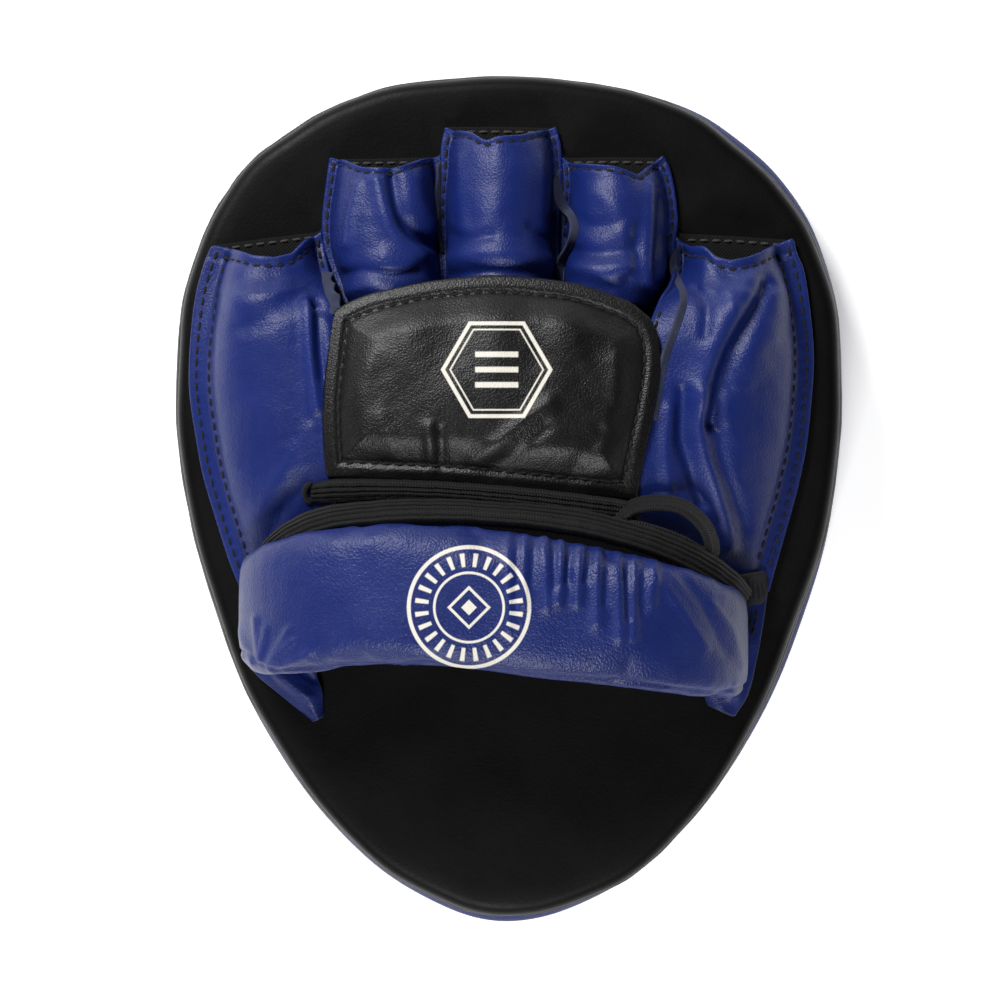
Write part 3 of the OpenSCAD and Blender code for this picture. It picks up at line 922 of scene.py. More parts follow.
STALLS = {
    "left_outer": Stall(
        left=sewn_down((-88, 75), (-90.2, 70), (-93, 59.5), (-94.6, 46), (-94.9, 33), (-93.2, 20),
                       (-90.8, 7), (-87, -6), (-83, -18.5), (-79.5, -27)),
        right=sewn_down((-56, 79, 47.8), (-55, 72, 49), (-53, 64, 56), (-51, 57, 63),
                        (-50.5, 45, 68.5), (-50.5, 30, 70.5), (-50.5, 14, 71), (-50.5, 4, 70),
                        (-52, -3, 67.5), (-54, -8, 65)),
        flanges=[[(0, 5.5), (0.2, 7), (1, 7)], [(0, 2.6), (0.12, 2), (0.25, 0.3), (1, 0.3)]],
        rise=[(0, 15), (0.15, 17), (0.3, 14), (0.5, 9.5), (0.75, 7), (1, 1.5)],
        hem=[(0, 0), (0.15, -1.5), (0.4, -5.5), (0.6, -6.8), (0.75, -6.2), (0.88, -2.2), (1, 0)],
        creases=[
            ([(-59, 57), (-58.4, 46), (-57.2, 36), (-56, 27)], 1.9, 2.0),
            ([(-56, 57), (-55.4, 46), (-54.4, 36)], -1.7, 1.7),
            ([(-57, 58), (-51, 54)], -2.0, 1.8),
            ([(-62, 68), (-70, 60), (-80, 57)], 0.8, 3.5),
            ([(-60, 61), (-68, 54), (-78, 50)], -0.7, 3.0),
            ([(-58, 20), (-66, 8), (-75, -6)], 0.6, 3.0),
            ([(-61, 4), (-67, -4), (-72, -14)], -0.6, 2.2),
            ([(-86, 60), (-88, 45), (-87.6, 25), (-84, 5)], -0.4, 1.3),
            ([(-92.6, 55), (-92.7, 33), (-88.6, 6), (-79, -22)], -0.3, 0.8),
            ([(-88.6, 55), (-88.6, 33), (-84.6, 7), (-76, -18)], -0.3, 0.8),
        ],
        lean=([(0, 0.5), (1, 0.55)], [(0, 0.5), (0.2, 0.75), (0.45, 1.0), (1, 1.0)]), seed=3),
    "left_finger": Stall(
        left=sewn_down((-53.2, 101), (-54.2, 93.5), (-55.3, 84), (-55, 76, 47.8), (-53, 69, 48.5),
                       (-50.5, 63, 50), (-48, 57, 52)),
        right=sewn_down((-20.6, 101.5), (-20.4, 95), (-20.6, 87), (-20.6, 79, 47.8),
                        (-20.2, 70, 48.5), (-20, 63, 50), (-20, 57, 52)),
        flanges=[[(0, 2.8), (0.5, 2.4), (1, 1)], [(0, 2.8), (0.4, 1.2), (1, 0.6)]],
        rise=[(0, 14.5), (0.4, 17.5), (0.75, 18.5), (1, 14)],
        hem=[(0, 0), (0.12, -1.2), (0.3, -4.2), (0.5, -4.6), (0.66, -4.0), (0.84, -1.6), (1, 0)],
        creases=[
            ([(-44.5, 92), (-46.6, 84), (-47.6, 75)], 0.9, 1.6),
            ([(-34.5, 95), (-32.6, 85.5), (-29.4, 79.5), (-25, 76.2), (-18.6, 75)], -2.4, 2.1),
            ([(-38.5, 93), (-36.5, 84), (-33, 77), (-26, 72.3)], 1.5, 2.6),
            ([(-28, 94), (-27, 87), (-24, 82)], 1.0, 2.6),
            ([(-48, 61), (-42, 62), (-35, 60.5)], 1.4, 2.4),
            ([(-50, 66), (-43, 67), (-35, 65.5), (-27, 67)], -1.3, 1.7),
            ([(-36, 71), (-30, 70)], 0.9, 3.2),
        ], seed=8),
    "middle_finger": Stall(
        left=sewn_down((-19, 110.5), (-20.1, 105), (-20.4, 97), (-21, 89), (-20.6, 80, 47.8),
                       (-20, 70, 48.5), (-20, 60, 50)),
        right=sewn_down((13.4, 110), (14.6, 104.5), (14.9, 97), (14.4, 86), (14, 78, 47.8),
                        (14, 69, 48.5), (14, 60, 50)),
        flanges=[[(0, 2.8), (0.5, 2.2), (1, 1)], [(0, 2.8), (0.5, 2.2), (1, 1)]],
        rise=[(0, 15.5), (0.3, 18), (0.7, 20), (1, 19)],
        hem=[(0, -0.5), (0.1, -2), (0.22, -2.8), (0.37, -6.0), (0.45, -4.6), (0.68, -3.8),
             (0.85, -2), (1, 0)],
        creases=[
            ([(-18, 70.5), (-8, 71.5), (4, 71), (13, 70)], 1.5, 3.4),
            ([(-18, 65.5), (-6, 66.5), (6, 66), (14, 65)], -1.2, 1.8),
            ([(-14.5, 100), (-14.8, 90), (-14, 80)], 0.5, 1.6),
            ([(9, 100), (9.3, 90), (9, 80)], 0.5, 1.6),
            ([(-19, 79), (-13, 76), (-6, 77)], -0.9, 1.7),
            ([(6, 80), (12, 77), (16, 78)], -0.8, 1.6),
            ([(-4, 103), (-2, 92), (-5, 84)], 0.4, 4.0),
        ], seed=12),
    "right_finger": Stall(
        left=sewn_down((15.6, 101), (16, 93), (15.6, 86), (15.4, 78, 47.8), (15.2, 70, 48.5),
                       (15, 64, 50), (15, 58, 52)),
        right=sewn_down((45.2, 101.5), (47, 97.5), (48.4, 91), (49.2, 83), (48.6, 77, 47.8),
                        (48.4, 68, 48.6), (46.5, 62, 50), (43, 57, 52)),
        flanges=[[(0, 2.2), (0.5, 1.6), (1, 0.8)], [(0, 2.8), (0.5, 2.6), (1, 1)]],
        rise=[(0, 14), (0.4, 17), (0.75, 18.5), (1, 14)],
        hem=[(0, 0), (0.1, -2.4), (0.3, -3.2), (0.5, -4.0), (0.74, -6.4), (0.86, -3.4), (1, 0)],
        creases=[
            ([(41, 92), (40.6, 82), (40, 72), (40, 64)], 1.1, 1.7),
            ([(44.4, 88), (44, 79), (43.2, 71), (43.4, 64)], -1.1, 1.5),
            ([(17, 84), (24, 80), (31, 81)], -0.7, 2.0),
            ([(20, 68), (27, 66), (34, 67)], 1.3, 2.8),
            ([(19, 73), (27, 72), (36, 74)], -0.9, 2.0),
            ([(34, 64), (37, 70), (37, 79)], -0.8, 1.8),
            ([(24, 90), (30, 86), (33, 78)], 0.6, 3.0),
        ], seed=17),
    "right_outer": Stall(
        left=sewn_down((49.2, 77.5, 47.8), (49.2, 71, 49), (47.5, 64, 56), (44, 58, 63),
                       (41, 50, 68.5), (40.5, 38, 70.5), (37.5, 22, 72.5), (34.5, 9, 73.5),
                       (32.5, 0, 72.5), (32, -7, 69)),
        right=sewn_down((83.5, 77), (84.7, 72.5), (86.8, 67), (88.8, 54), (89.7, 42), (89, 29),
                        (87.4, 15), (84.6, 2), (81, -11), (76.5, -27)),
        flanges=[[(0, 2.4), (0.12, 2), (0.25, 0.3), (1, 0.3)], [(0, 5.5), (0.2, 6.5), (1, 6.5)]],
        rise=[(0, 14.5), (0.15, 16), (0.3, 13), (0.5, 9), (0.75, 7), (1, 2)],
        hem=[(0, 0), (0.1, -3.2), (0.22, -3.4), (0.32, -6.6), (0.44, -7.6), (0.58, -6.6),
             (0.7, -5.0), (0.84, -2.2), (1, 0)],
        creases=[
            ([(75, 63), (72.6, 58), (67.4, 49.4), (63.3, 41.5), (60, 31.4), (58.7, 22)], -3.0, 2.3),
            ([(69, 63), (66.4, 57), (61, 48), (57.4, 39), (55, 30)], 2.2, 4.6),
            ([(80, 60), (77, 52), (71, 43), (67, 34)], 0.9, 4.5),
            ([(55.6, 31), (55.4, 17), (58.9, 6), (62.4, -4.5), (64.6, -13)], 1.6, 2.3),
            ([(50.2, 31), (49.6, 19), (52.2, 9), (55.7, -1)], -1.9, 2.2),
            ([(61, 20), (62, 10), (65.5, 1), (68.5, -8)], -1.1, 2.4),
            ([(46, 26), (45, 14), (46, 4)], 1.0, 2.2),
            ([(58, 68), (62, 62), (64, 56)], 0.9, 2.6),
            ([(54, 62), (57, 56), (56.6, 48)], -1.0, 1.8),
            ([(87.8, 58), (88.2, 42), (85.6, 14), (76, -20)], -0.3, 0.8),
            ([(83.8, 58), (84.2, 42), (81.6, 14), (72.6, -16)], -0.3, 0.8),
        ],
        lean=([(0, 0.5), (0.2, 0.75), (0.45, 1.0), (1, 1.0)], [(0, 0.5), (1, 0.55)]), seed=23),
}

# The outer panels' two bodies, each with a place: the pad at their outer edge, the hood at their
# inner edge. A piece given such a pair is baked where it stands.
BENDS = {
    "left_outer": ("pad", "hood", (-0.074, 0.03, 0.05), (-0.051, 0.03, 0.05)),
    "right_outer": ("pad", "hood", (0.086, 0.03, 0.05), (0.046, 0.03, 0.05)),
}


def stall_body(name):
    return BENDS.get(name, "pad")


def make_stall(name):
    """One stall's leather with its stitches, and its lining: a thinner sheet just under the
    leather, kept clear of the flanges, as far back as a finger or the hand needs it."""
    s = sizes()
    stall = STALLS[name]
    long = name.endswith("outer")
    p, wear_and_highlight, n = stall_surface(stall, 96 if long else 70, 150 if long else 72)
    obj = between(name + "_leather", p, p - n * s.leather, wear_and_highlight)
    finish_piece(obj, stall_body(name), [name + "_stall"], ["blue_leather"] * 2)
    rows = slice(10, -10)
    stop = int(p.shape[1] * (0.30 if long else 0.8))
    start = 3
    inner_top = (p - n * (s.leather + 0.25))[rows, start:stop]
    lining = between(name + "_lining_cloth", inner_top, inner_top - n[rows, start:stop] * 0.7)
    finish_piece(lining, stall_body(name), [name + "_lining"], ["lining"] * 2)
    tree = tree_of(obj)
    columns = p.shape[1]
    hem_at = max(2, int(columns * 0.03))
    plan = p[..., :2]
    stitched = [plan[6:-6, hem_at]]
    last = int(columns * (0.97 if long else 0.6))
    if long:
        on_left = name.startswith("left")
        outer, second, seam, inner = (plan if on_left else plan[::-1])[[3, 9, -5, -13]]
        inside = slice(int(columns * (0.86 if on_left else 0.3)), last)
        stitched += [outer[1:last], second[1:last], seam[1:int(columns * 0.13)], inner[inside]]
    else:
        stitched += [plan[4][1:last], plan[-5][1:last]]
    rows_in_plan = [row[:: max(1, len(row) // 14)] for row in stitched]
    sewn(name + "_stitches", rows_in_plan, tree, "thread", stall_body(name))
    return obj


def make_liner():
    """The palm's lining: a flat sheet with the stalls' mouths as its front edge, and their
    stitches."""
    low, high = LINER_LOW[2] + 0.02, LINER_HIGH[2] + 0.15
    outline = [
        (-87.6, 75.5), (-72, 77.6), (-57, 79.4), (-54.6, 82), (-54.8, 92), (-53.4, 101),
        (-37, 101.2), (-21.6, 101.6), (-20.2, 104), (-18.6, 110.6), (-2, 110.6), (13.2, 110.2),
        (14.9, 105), (16.4, 101.4), (30, 101.6), (45, 101.4), (47.4, 96), (48.8, 88), (49.8, 79),
        (66, 78.2), (83.4, 77), (86.6, 66), (89.4, 48), (88.8, 28), (84.4, 2), (76, -26), (40, -29),
        (-40, -29), (-78.6, -27), (-86.6, -6), (-92.8, 20), (-94.4, 40), (-92, 60), (-88.4, 72),
    ]
    line = np.array(outline + outline[:1], float)
    run = run_along(line)
    at = np.linspace(0, run[-1], 420, endpoint=False)
    edge = np.column_stack([np.interp(at, run, line[:, k]) for k in range(2)])
    middle = np.array([-3.0, 30.0])
    levels = [(0, low), (0.5, low), (0.992, low), (0.999, low + 0.25),
              (1.0, (low + high) / 2), (0.999, high - 0.2),
              (0.993, high), (0.9, high), (0.7, high), (0.4, high), (0, high)]
    rings = [np.column_stack([middle + (edge - middle) * k, np.full(len(edge), z)])
             for k, z in levels]
    obj = closed_skin("palm_liner", np.array(rings))
    finish_piece(obj, "pad", ["palm_lining"], ["lining"])
    tree = tree_of(obj)
    fronts = [
        [(-86.5, 74.2), (-71, 76.2), (-58, 77.8)],
        [(-52, 99.6), (-37, 99.8), (-22, 100)],
        [(-17.6, 109), (-2, 109), (12.4, 108.7)],
        [(17.4, 99.8), (30, 100), (44.4, 99.8)],
        [(50.8, 77), (66, 76.6), (82, 75.4)],
    ]
    sewn("liner_stitches", fronts, tree, "pale_thread", "pad")
    return obj


def ribbon(name, line, lean, width, thickness, wave, seed):
    """A thin strip standing on one edge along a line: it leans over by an angle that wavers, and
    its top edge ripples."""
    n = len(line)
    v = np.linspace(0, 1, n)
    d = unit(np.gradient(line, axis=0))
    side = unit(np.cross(d, np.array([0.0, 0.0, 1.0])))
    draw = np.random.default_rng(seed)
    sway = np.sin(v * 2 * math.pi * draw.uniform(2.0, 3.2) + draw.uniform(0, 6))
    angle = lean + 0.45 * wave * sway
    tall = width * (1 + 0.10 * np.sin(v * 2 * math.pi * draw.uniform(2, 3.4) + draw.uniform(0, 6)))
    tall = tall * np.sqrt(np.clip(np.minimum(v, 1 - v) * 12, 0.05, 1))
    rise = np.linspace(0, 1, 8)
    out = side * np.sin(angle)[:, None] + np.array([0, 0, 1.0]) * np.cos(angle)[:, None]
    p = line[None] + rise[:, None, None] * (tall[:, None] * out)[None]
    return sheet_of(name, p, thickness)


def make_seam_edges():
    """The raw edges of the seams between the stalls: each lies over to one side on the leather."""
    tree = tree_of(*(bpy.data.objects[name + "_leather"] for name in STALLS),
                   bpy.data.objects["knuckle_pad"])
    for number, body, plan, lean, width, seed in (
        (1, BENDS["left_outer"], [(-55.2, 67), (-54.2, 62), (-52.2, 57.5), (-51.6, 54)],
         -0.9, 3.4, 4),
        (2, "pad", [(-20.4, 100), (-20.6, 90), (-20.2, 80), (-19.4, 73)], 0.5, 1.8, 6),
        (3, "pad", [(15.2, 98), (16.0, 89), (18.8, 84.6), (20.2, 79.4), (18.4, 74), (16.2, 70),
                    (15.2, 64.8)], 1.0, 2.5, 9),
        (4, BENDS["right_outer"], [(49.4, 74), (49.4, 67), (51.2, 62.6), (51.6, 57.8), (49.6, 51),
                                   (46.4, 42.4), (44.6, 34.6), (42.6, 23)], 1.0, 2.2, 13),
    ):
        line, _ = laid(curve(plan, 90), tree, lift=0.1)
        for _ in range(8):
            line[1:-1] = line[1:-1] * 0.5 + (line[:-2] + line[2:]) * 0.25
        obj = ribbon("seam_edge_%d" % number, line, lean, width, 1.0, 0.3, seed)
        finish_piece(obj, body, ["seam_strip_%d" % number], ["raw_edge"] * 2)


# ---- knuckle hood -------------------------------------------------------------------------------

PANEL_LEFT = [(-53, 7), (-53.9, 18), (-54, 30), (-52.6, 44), (-51.6, 52)]
PANEL_TOP = [(-51.6, 52), (-50, 55.2), (-42, 59), (-32, 61.4), (-22, 63.2), (-5.6, 64.6), (8, 63.8),
             (19.5, 62.2), (28, 59.6), (35, 56.8), (40.6, 52.4)]
PANEL_RIGHT = [(36, 0.4), (38.2, 12), (41.2, 26), (43, 38), (42.8, 46), (40.6, 52.4)]
PANEL_BOTTOM = [(-53, 7), (-36, 6.2), (-18, 5.4), (4, 3.4), (22, 1.6), (36, 0.4)]
PANEL_FOLDS = [
    ([(-24, 4), (-23.2, 12), (-23.6, 21)], 0.9, 1.7),
    ([(-20.5, 4), (-19.8, 12), (-20, 20)], -0.8, 1.6),
    ([(-10, 11), (-4, 16), (3, 22), (11, 28)], 1.0, 2.6),
    ([(-6, 8), (2, 14), (10, 21)], -0.8, 2.4),
    ([(24, 6), (29, 10), (33, 16)], 0.9, 3.2),
    ([(17, 5), (20, 12), (26, 19)], -0.7, 2.6),
    ([(-47, 28), (-44, 36), (-38, 42)], 0.5, 3.4),
    ([(-38, 24), (-34, 15), (-34, 6)], 0.5, 2.4),
    ([(-43, 12), (-36, 10)], -0.5, 2.2),
    ([(8, 42), (18, 36), (26, 28)], -0.45, 3.4),
    ([(30, 40), (33, 30)], 0.5, 3.4),
]


def four_sided(left, right, bottom, top, rows, columns):
    """A Coons patch in plan: the blend of each pair of facing edges, less the blend of the
    corners."""
    l, r = curve(left, rows), curve(right, rows)
    b, t = curve(bottom, columns), curve(top, columns)
    u = np.linspace(0, 1, columns)[None, :, None]
    v = np.linspace(0, 1, rows)[:, None, None]
    corners = (1 - u) * (1 - v) * b[0] + u * (1 - v) * b[-1] + (1 - u) * v * t[0] + u * v * t[-1]
    return (1 - v) * b[None] + v * t[None] + (1 - u) * l[:, None] + u * r[:, None] - corners


# How far inside the panel's edge its row of stitches runs
PANEL_SEAM = 4.3


def panel_edge():
    """The panel's outline as one closed run of its four sides."""
    return np.vstack([curve(PANEL_LEFT, 30), curve(PANEL_TOP, 50), curve(PANEL_RIGHT, 30)[::-1],
                      curve(PANEL_BOTTOM, 50)[::-1]])


def panel_height(xy):
    """Height of the knuckle panel: the hood under it, and a padding that starts behind its row of
    stitches, rises within a centimetre of its edge and is dented by its folds."""
    s = sizes()
    edge = distance(xy, panel_edge())
    padding = 1.9 + (s.panel_rise - 2.2) * ease((edge - 4.4) / 9.0) ** 0.75
    stitched = -0.55 * np.exp(-((edge - PANEL_SEAM) / 0.9) ** 2)
    puffed = 0.25 * np.exp(-((edge - 2.2) / 1.4) ** 2)
    loose = ease((edge - 3.0) / 6.0)
    dents = folds(xy, PANEL_FOLDS) * (0.25 + 0.75 * loose)
    soft = 0.34 * crumple(xy, 24, 31) * loose + 0.06 * crumple(xy, 6, 32) * loose
    waves = np.cos((xy[..., 0] + 6) / 23 * 2 * math.pi)
    knuckles = 0.5 * waves * ease((xy[..., 1] - 30) / 15) * loose
    rise = padding + stitched + puffed + dents + soft + knuckles
    return hood_top(xy[..., 0], xy[..., 1]) + rise, dents


def panel_ring(inset):
    """The panel's outline drawn in: each side is moved towards the middle of the panel."""
    middle = np.array([-6.0, 33.0])
    line = np.vstack([curve(PANEL_LEFT, 30)[1:-1], curve(PANEL_TOP, 40),
                      curve(PANEL_RIGHT, 30)[::-1][1:-1],
                      curve(PANEL_BOTTOM, 40)[::-1]])
    line = np.vstack([line, line[:1]])
    d = unit(np.gradient(line, axis=0))
    inward = np.column_stack([d[:, 1], -d[:, 0]])
    inward *= np.sign((inward * (middle - line)).sum(1, keepdims=True))
    return line + inward * inset


def make_knuckle_panel():
    """The knuckle panel on the hood's top, its row of stitches, and its lining a little smaller."""
    xy = four_sided(PANEL_LEFT, PANEL_RIGHT, PANEL_BOTTOM, PANEL_TOP, 110, 150)
    z, dents = panel_height(xy)
    top = np.dstack([xy, z])
    under = np.dstack([xy, hood_top(xy[..., 0], xy[..., 1]) + 0.25])
    # The proud folds of the dents are painted paler: a painted highlight
    obj = between("knuckle_pad", top, under, np.clip(dents * 0.5, 0, 1))
    finish_piece(obj, "hood", ["knuckle_panel", "knuckle_foam"],
                 ["panel_leather"] * 2)
    ring = panel_ring(PANEL_SEAM)
    sewn("knuckle_stitches", [ring[::4]], tree_of(obj), "thread", "hood")
    lining_xy = four_sided(PANEL_LEFT, PANEL_RIGHT, PANEL_BOTTOM, PANEL_TOP, 40, 50)
    middle = np.array([-6.0, 31.0])
    lining_xy = middle + (lining_xy - middle) * 0.94
    high = np.dstack([lining_xy, hood_top(lining_xy[..., 0], lining_xy[..., 1]) - 0.1])
    lining = between("knuckle_lining_cloth", high, high - np.array([0, 0, 0.9]))
    finish_piece(lining, "hood", ["knuckle_lining"], ["lining"] * 2)
    return obj


# ---- elastics -----------------------------------------------------------------------------------

def ribbed(name, upper, lower, ribs, thickness, crown, columns=260):
    """A ribbed elastic between two edges in space: straight lines join the edges, crowned across,
    and rounded ribs run along it. Its strip map gives millimetres along and across."""
    a, b = curve(upper, columns), curve(lower, columns)
    u = np.linspace(0, 1, 8 * ribs + 1)
    p = a[None] * (1 - u)[:, None, None] + b[None] * u[:, None, None]
    n = normals(p)
    n = n if n[..., 2].mean() > 0 else -n
    height = crown * (1 - (2 * u - 1) ** 2) + 0.42 * np.abs(np.sin(math.pi * ribs * u)) ** 0.7
    v = np.linspace(0, 1, columns)
    waver = 0.10 * np.sin(v * 60) + 0.08 * np.sin(v * 140 + 1)
    p = p + n * (height[:, None] + waver[None])[..., None]
    run = run_along(a)
    wide = np.linalg.norm(a - b, axis=1).mean()
    uv = np.stack(np.broadcast_arrays(run[None], (u * wide)[:, None]), -1)
    return between(name, p, p - n * thickness, None, uv)


def on_hood(points, lift):
    """Points in space over the bare hood: its height there, a lift for all and a further lift for
    each."""
    return [(x, y, float(hood_top(np.array(x), np.array(y))) + lift + more)
            for x, y, more in points]


def make_hem_elastic():
    """The ribbed elastic along the hood's wrist edge, and the tucked cord at its left end."""
    upper = on_hood([(-57.5, 4.6, -1.6), (-50, 5.4, 0), (-34, 5.2, 0.2), (-16, 4.4, 0.2),
                     (4, 2.8, 0.2), (20, 1.0, 0.2), (33, -0.8, 0.1), (36.6, -2.2, -0.6)], 3.4)
    lower = on_hood([(-57.0, -0.8, -2.2), (-50, -0.6, -1.4), (-34, 0.3, -1.0), (-16, -0.2, -1.0),
                     (4, -2.2, -1.0), (20, -4.2, -1.0), (33, -6.2, -1.0), (36.4, -6.6, -1.6)], 3.4)
    obj = ribbed("hem_band", upper, lower, 4, 1.5, 0.9)
    finish_piece(obj, "hood", ["hem_elastic"], ["elastic"] * 2)
    end = tube("hem_end",
               curve([(-57.6, 5.2, 69.6), (-59.4, 3.4, 69.0), (-59.4, 0.8, 68.0),
                      (-57.6, -1.2, 67.6)], 16), 1.0, 8)
    finish_piece(end, "hood", (), ["thread"])
    return obj


LOOP_HALF_WIDTH = 3.3


def make_elastic_loop():
    """A slack strap standing on its edge: out from the hem, round to the right, and back under the
    wrist elastic, as one closed band."""
    outer = [(33, -3.2, 76), (38, -1.2, 76.4), (44, -0.8, 76.2), (50, -2.2, 75.4), (55.4, -6.6, 74),
             (58.0, -11.4, 72.6), (58.2, -15.4, 71.2), (55, -15.6, 71.4), (50, -12.8, 72.6),
             (44, -10.4, 74), (38, -8.6, 75), (33.2, -7.4, 75.4), (31.6, -5.2, 75.8),
             (33, -3.2, 76)]
    line = curve(outer, 200)[:-1]
    d = unit(np.roll(line, -1, axis=0) - np.roll(line, 1, axis=0))
    side = unit(np.cross(d, np.array([0.0, 0.0, 1.0])))
    lean = unit(np.array([0.0, 0.0, 1.0]) + side * 0.6)
    across = np.array([-1, -0.8, -0.55, -0.3, 0, 0.3, 0.55, 0.8, 1.0])
    ribs = 0.8 + 0.22 * np.abs(np.cos(across * math.pi * 1.5))
    ribs[[0, -1]] = 0.35
    places = np.concatenate([across, across[::-1]])
    thick = np.concatenate([ribs, -ribs[::-1]])
    section = (line[None] + places[:, None, None] * LOOP_HALF_WIDTH * lean[None]
               + thick[:, None, None] * side[None])
    run = run_along(line)
    uv = np.stack(np.broadcast_arrays(run[None], (places * LOOP_HALF_WIDTH)[:, None]), -1)
    rows, columns = section.shape[:2]
    faces = grid_faces(rows, columns, 0, True)
    last = (rows - 1) * columns + np.arange(columns)
    first = np.arange(columns)
    wrap = np.stack([last, np.roll(last, -1), np.roll(first, -1), first], -1)
    obj = mesh_object("slack_loop", section.reshape(-1, 3), np.vstack([faces, wrap]), None,
                      uv.reshape(-1, 2))
    return finish_piece(obj, "pad", ["elastic_loop"], ["elastic"])


def make_wrist_elastic():
    """The ribbed elastic in front of the cuff: its rear edge hugs the cuff's front face half way
    down its thickness, and its front edge lies lower, towards the glove."""
    upper = [(-77.4, -21, 59), (-73, -13.5, 66), (-66, -7.2, 73.5), (-56, -2.4, 79.6),
             (-40, -0.2, 84), (-20, 0.4, 86.4), (0, -0.8, 86.6), (18, -2.4, 85.4), (34, -6.0, 82.6),
             (48, -10.6, 78.4), (59.5, -16.4, 72.6), (66.5, -21.6, 66), (70.4, -26, 59.6)]
    lower = [(-74.6, -23.6, 60), (-69.6, -16.6, 69), (-62, -11.8, 77.5), (-52, -8.4, 83.6),
             (-38, -6.6, 88.2), (-20, -6.0, 90.4), (0, -7.0, 90.6), (18, -9.4, 89.2),
             (33, -13.0, 86), (46, -17.6, 81), (57, -23.2, 74), (63.6, -27.6, 67),
             (67.4, -31, 60.4)]
    obj = ribbed("wrist_band", upper, lower, 5, 1.6, 0.8, 320)
    return finish_piece(obj, "cuff", ["wrist_elastic"], ["elastic"] * 2)


# ---- cuff ---------------------------------------------------------------------------------------

# The cuff's middle along X, half its padding's thickness, how far its arch stays inside its feet,
# and the arch's power
CUFF_MIDDLE = -5.0
CUFF_HALF_THICK = 8.5
CUFF_FOOT_INSET = 8.0
CUFF_POWER = 2.3


def cuff_arch(turn):
    """The cuff's arch in XZ, half a superellipse over its feet, with its outward direction."""
    foot = CUFF_LOW[2]
    half = (CUFF_HIGH[0] - CUFF_LOW[0]) / 2 - CUFF_FOOT_INSET
    tall = CUFF_HIGH[2] - foot - CUFF_HALF_THICK
    power = 2 / CUFF_POWER
    c, s = np.cos(turn), np.sin(turn)
    x = CUFF_MIDDLE - half * np.sign(c) * np.abs(c) ** power
    z = foot + tall * np.abs(s) ** power
    dx, dz = np.gradient(x), np.gradient(z)
    out = unit(np.stack([-dz, dx], -1))
    out = out * np.sign(out[len(out) // 2, 1])
    return x, z, out


def cuff_turns(count):
    """Places along the cuff's arch, evenly spaced by its length."""
    t = np.linspace(0.0, math.pi, 1441)
    x, z, _ = cuff_arch(t)
    run = np.concatenate([[0], np.cumsum(np.hypot(np.diff(x), np.diff(z)))])
    return np.interp(np.linspace(0, run[-1], count), run, t)


CUFF_FRONT = [(-76, -19.5), (-72, -14.6), (-66, -11), (-57, -8), (-43, -5.2), (-31, -4.4),
              (-14, -5.2), (3, -7.1), (17, -9.9), (36, -14.6), (50, -19.2), (60, -24), (69, -29)]
CUFF_REAR = [(-76, -46), (-72, -48.8), (-67, -50.6), (-57, -50), (-38, -49.2), (-20, -49.9),
             (-3, -50.6), (29, -53), (49, -56), (60, -57.4), (69, -56)]


def cuff_roll(count, section, shrink):
    """A padded roll along the cuff's arch. Its section is a rounded oblong: half its depth along Y
    times a superellipse of one power, and half its thickness outwards times one of another. Its
    front and rear edges follow their own lines, and both ends close with a rounded fall."""
    turn = cuff_turns(count)
    x, z, out = cuff_arch(turn)
    front = np.interp(x, *np.array(CUFF_FRONT).T) - shrink * 0.5
    rear = np.interp(x, *np.array(CUFF_REAR).T) - shrink * 0.3
    phi = np.linspace(0, 2 * math.pi, section, endpoint=False)
    c, s = np.cos(phi), np.sin(phi)
    deep = np.sign(c) * np.abs(c) ** (2 / 5.0)
    thick = np.sign(s) * np.abs(s) ** (2 / 2.6)
    end = np.minimum(np.arange(count), count - 1 - np.arange(count)) / (count * 0.035)
    close = np.sqrt(np.clip(1 - (1 - np.clip(end, 0, 1)) ** 2, 0, 1))
    centre, half = (front + rear) / 2, (front - rear) / 2
    y = centre[:, None] + half[:, None] * deep[None] * (0.70 + 0.30 * close[:, None])
    r = (CUFF_HALF_THICK - shrink) * thick[None] * close[:, None]
    p = np.stack([x[:, None] + out[:, :1] * r, y, z[:, None] + out[:, 1:] * r], -1)
    p[..., 2] = np.maximum(p[..., 2], CUFF_LOW[2] - 0.6)
    return p


CLOTH_FRAMES = 20


def inflate(obj, voxel, pressure, cap):
    """Swells a closed pad as sewn leather over foam does: remeshed, it is blown up as cloth
    without gravity, no point moves further than the cap, and the result is subdivided twice."""
    scene = bpy.context.scene
    remesh = obj.modifiers.new("remesh", "REMESH")
    remesh.mode = "VOXEL"
    remesh.voxel_size = voxel * MM
    remesh.use_smooth_shade = True
    bake_modifiers(obj)
    start = np.zeros(len(obj.data.vertices) * 3)
    obj.data.vertices.foreach_get("co", start)
    cloth = obj.modifiers.new("cloth", "CLOTH")
    cloth.settings.use_pressure = True
    cloth.settings.uniform_pressure_force = pressure
    cloth.settings.tension_stiffness = 15
    cloth.settings.compression_stiffness = 15
    cloth.settings.bending_stiffness = 0.6
    cloth.settings.shrink_min = -0.03
    cloth.settings.effector_weights.gravity = 0
    cloth.point_cache.frame_start = 1
    cloth.point_cache.frame_end = CLOTH_FRAMES
    for frame_number in range(1, CLOTH_FRAMES + 1):
        scene.frame_set(frame_number)
    bake_modifiers(obj)
    scene.frame_set(1)
    end = np.zeros(len(start))
    obj.data.vertices.foreach_get("co", end)
    move = (end - start).reshape(-1, 3)
    length = np.linalg.norm(move, axis=1, keepdims=True)
    move *= np.minimum(1, cap * MM / np.maximum(length, 1e-9))
    obj.data.vertices.foreach_set("co", (start.reshape(-1, 3) + move).ravel())
    smooth = obj.modifiers.new("smooth", "SUBSURF")
    smooth.levels = 2
    smooth.render_levels = 2
    bake_modifiers(obj)
    return obj


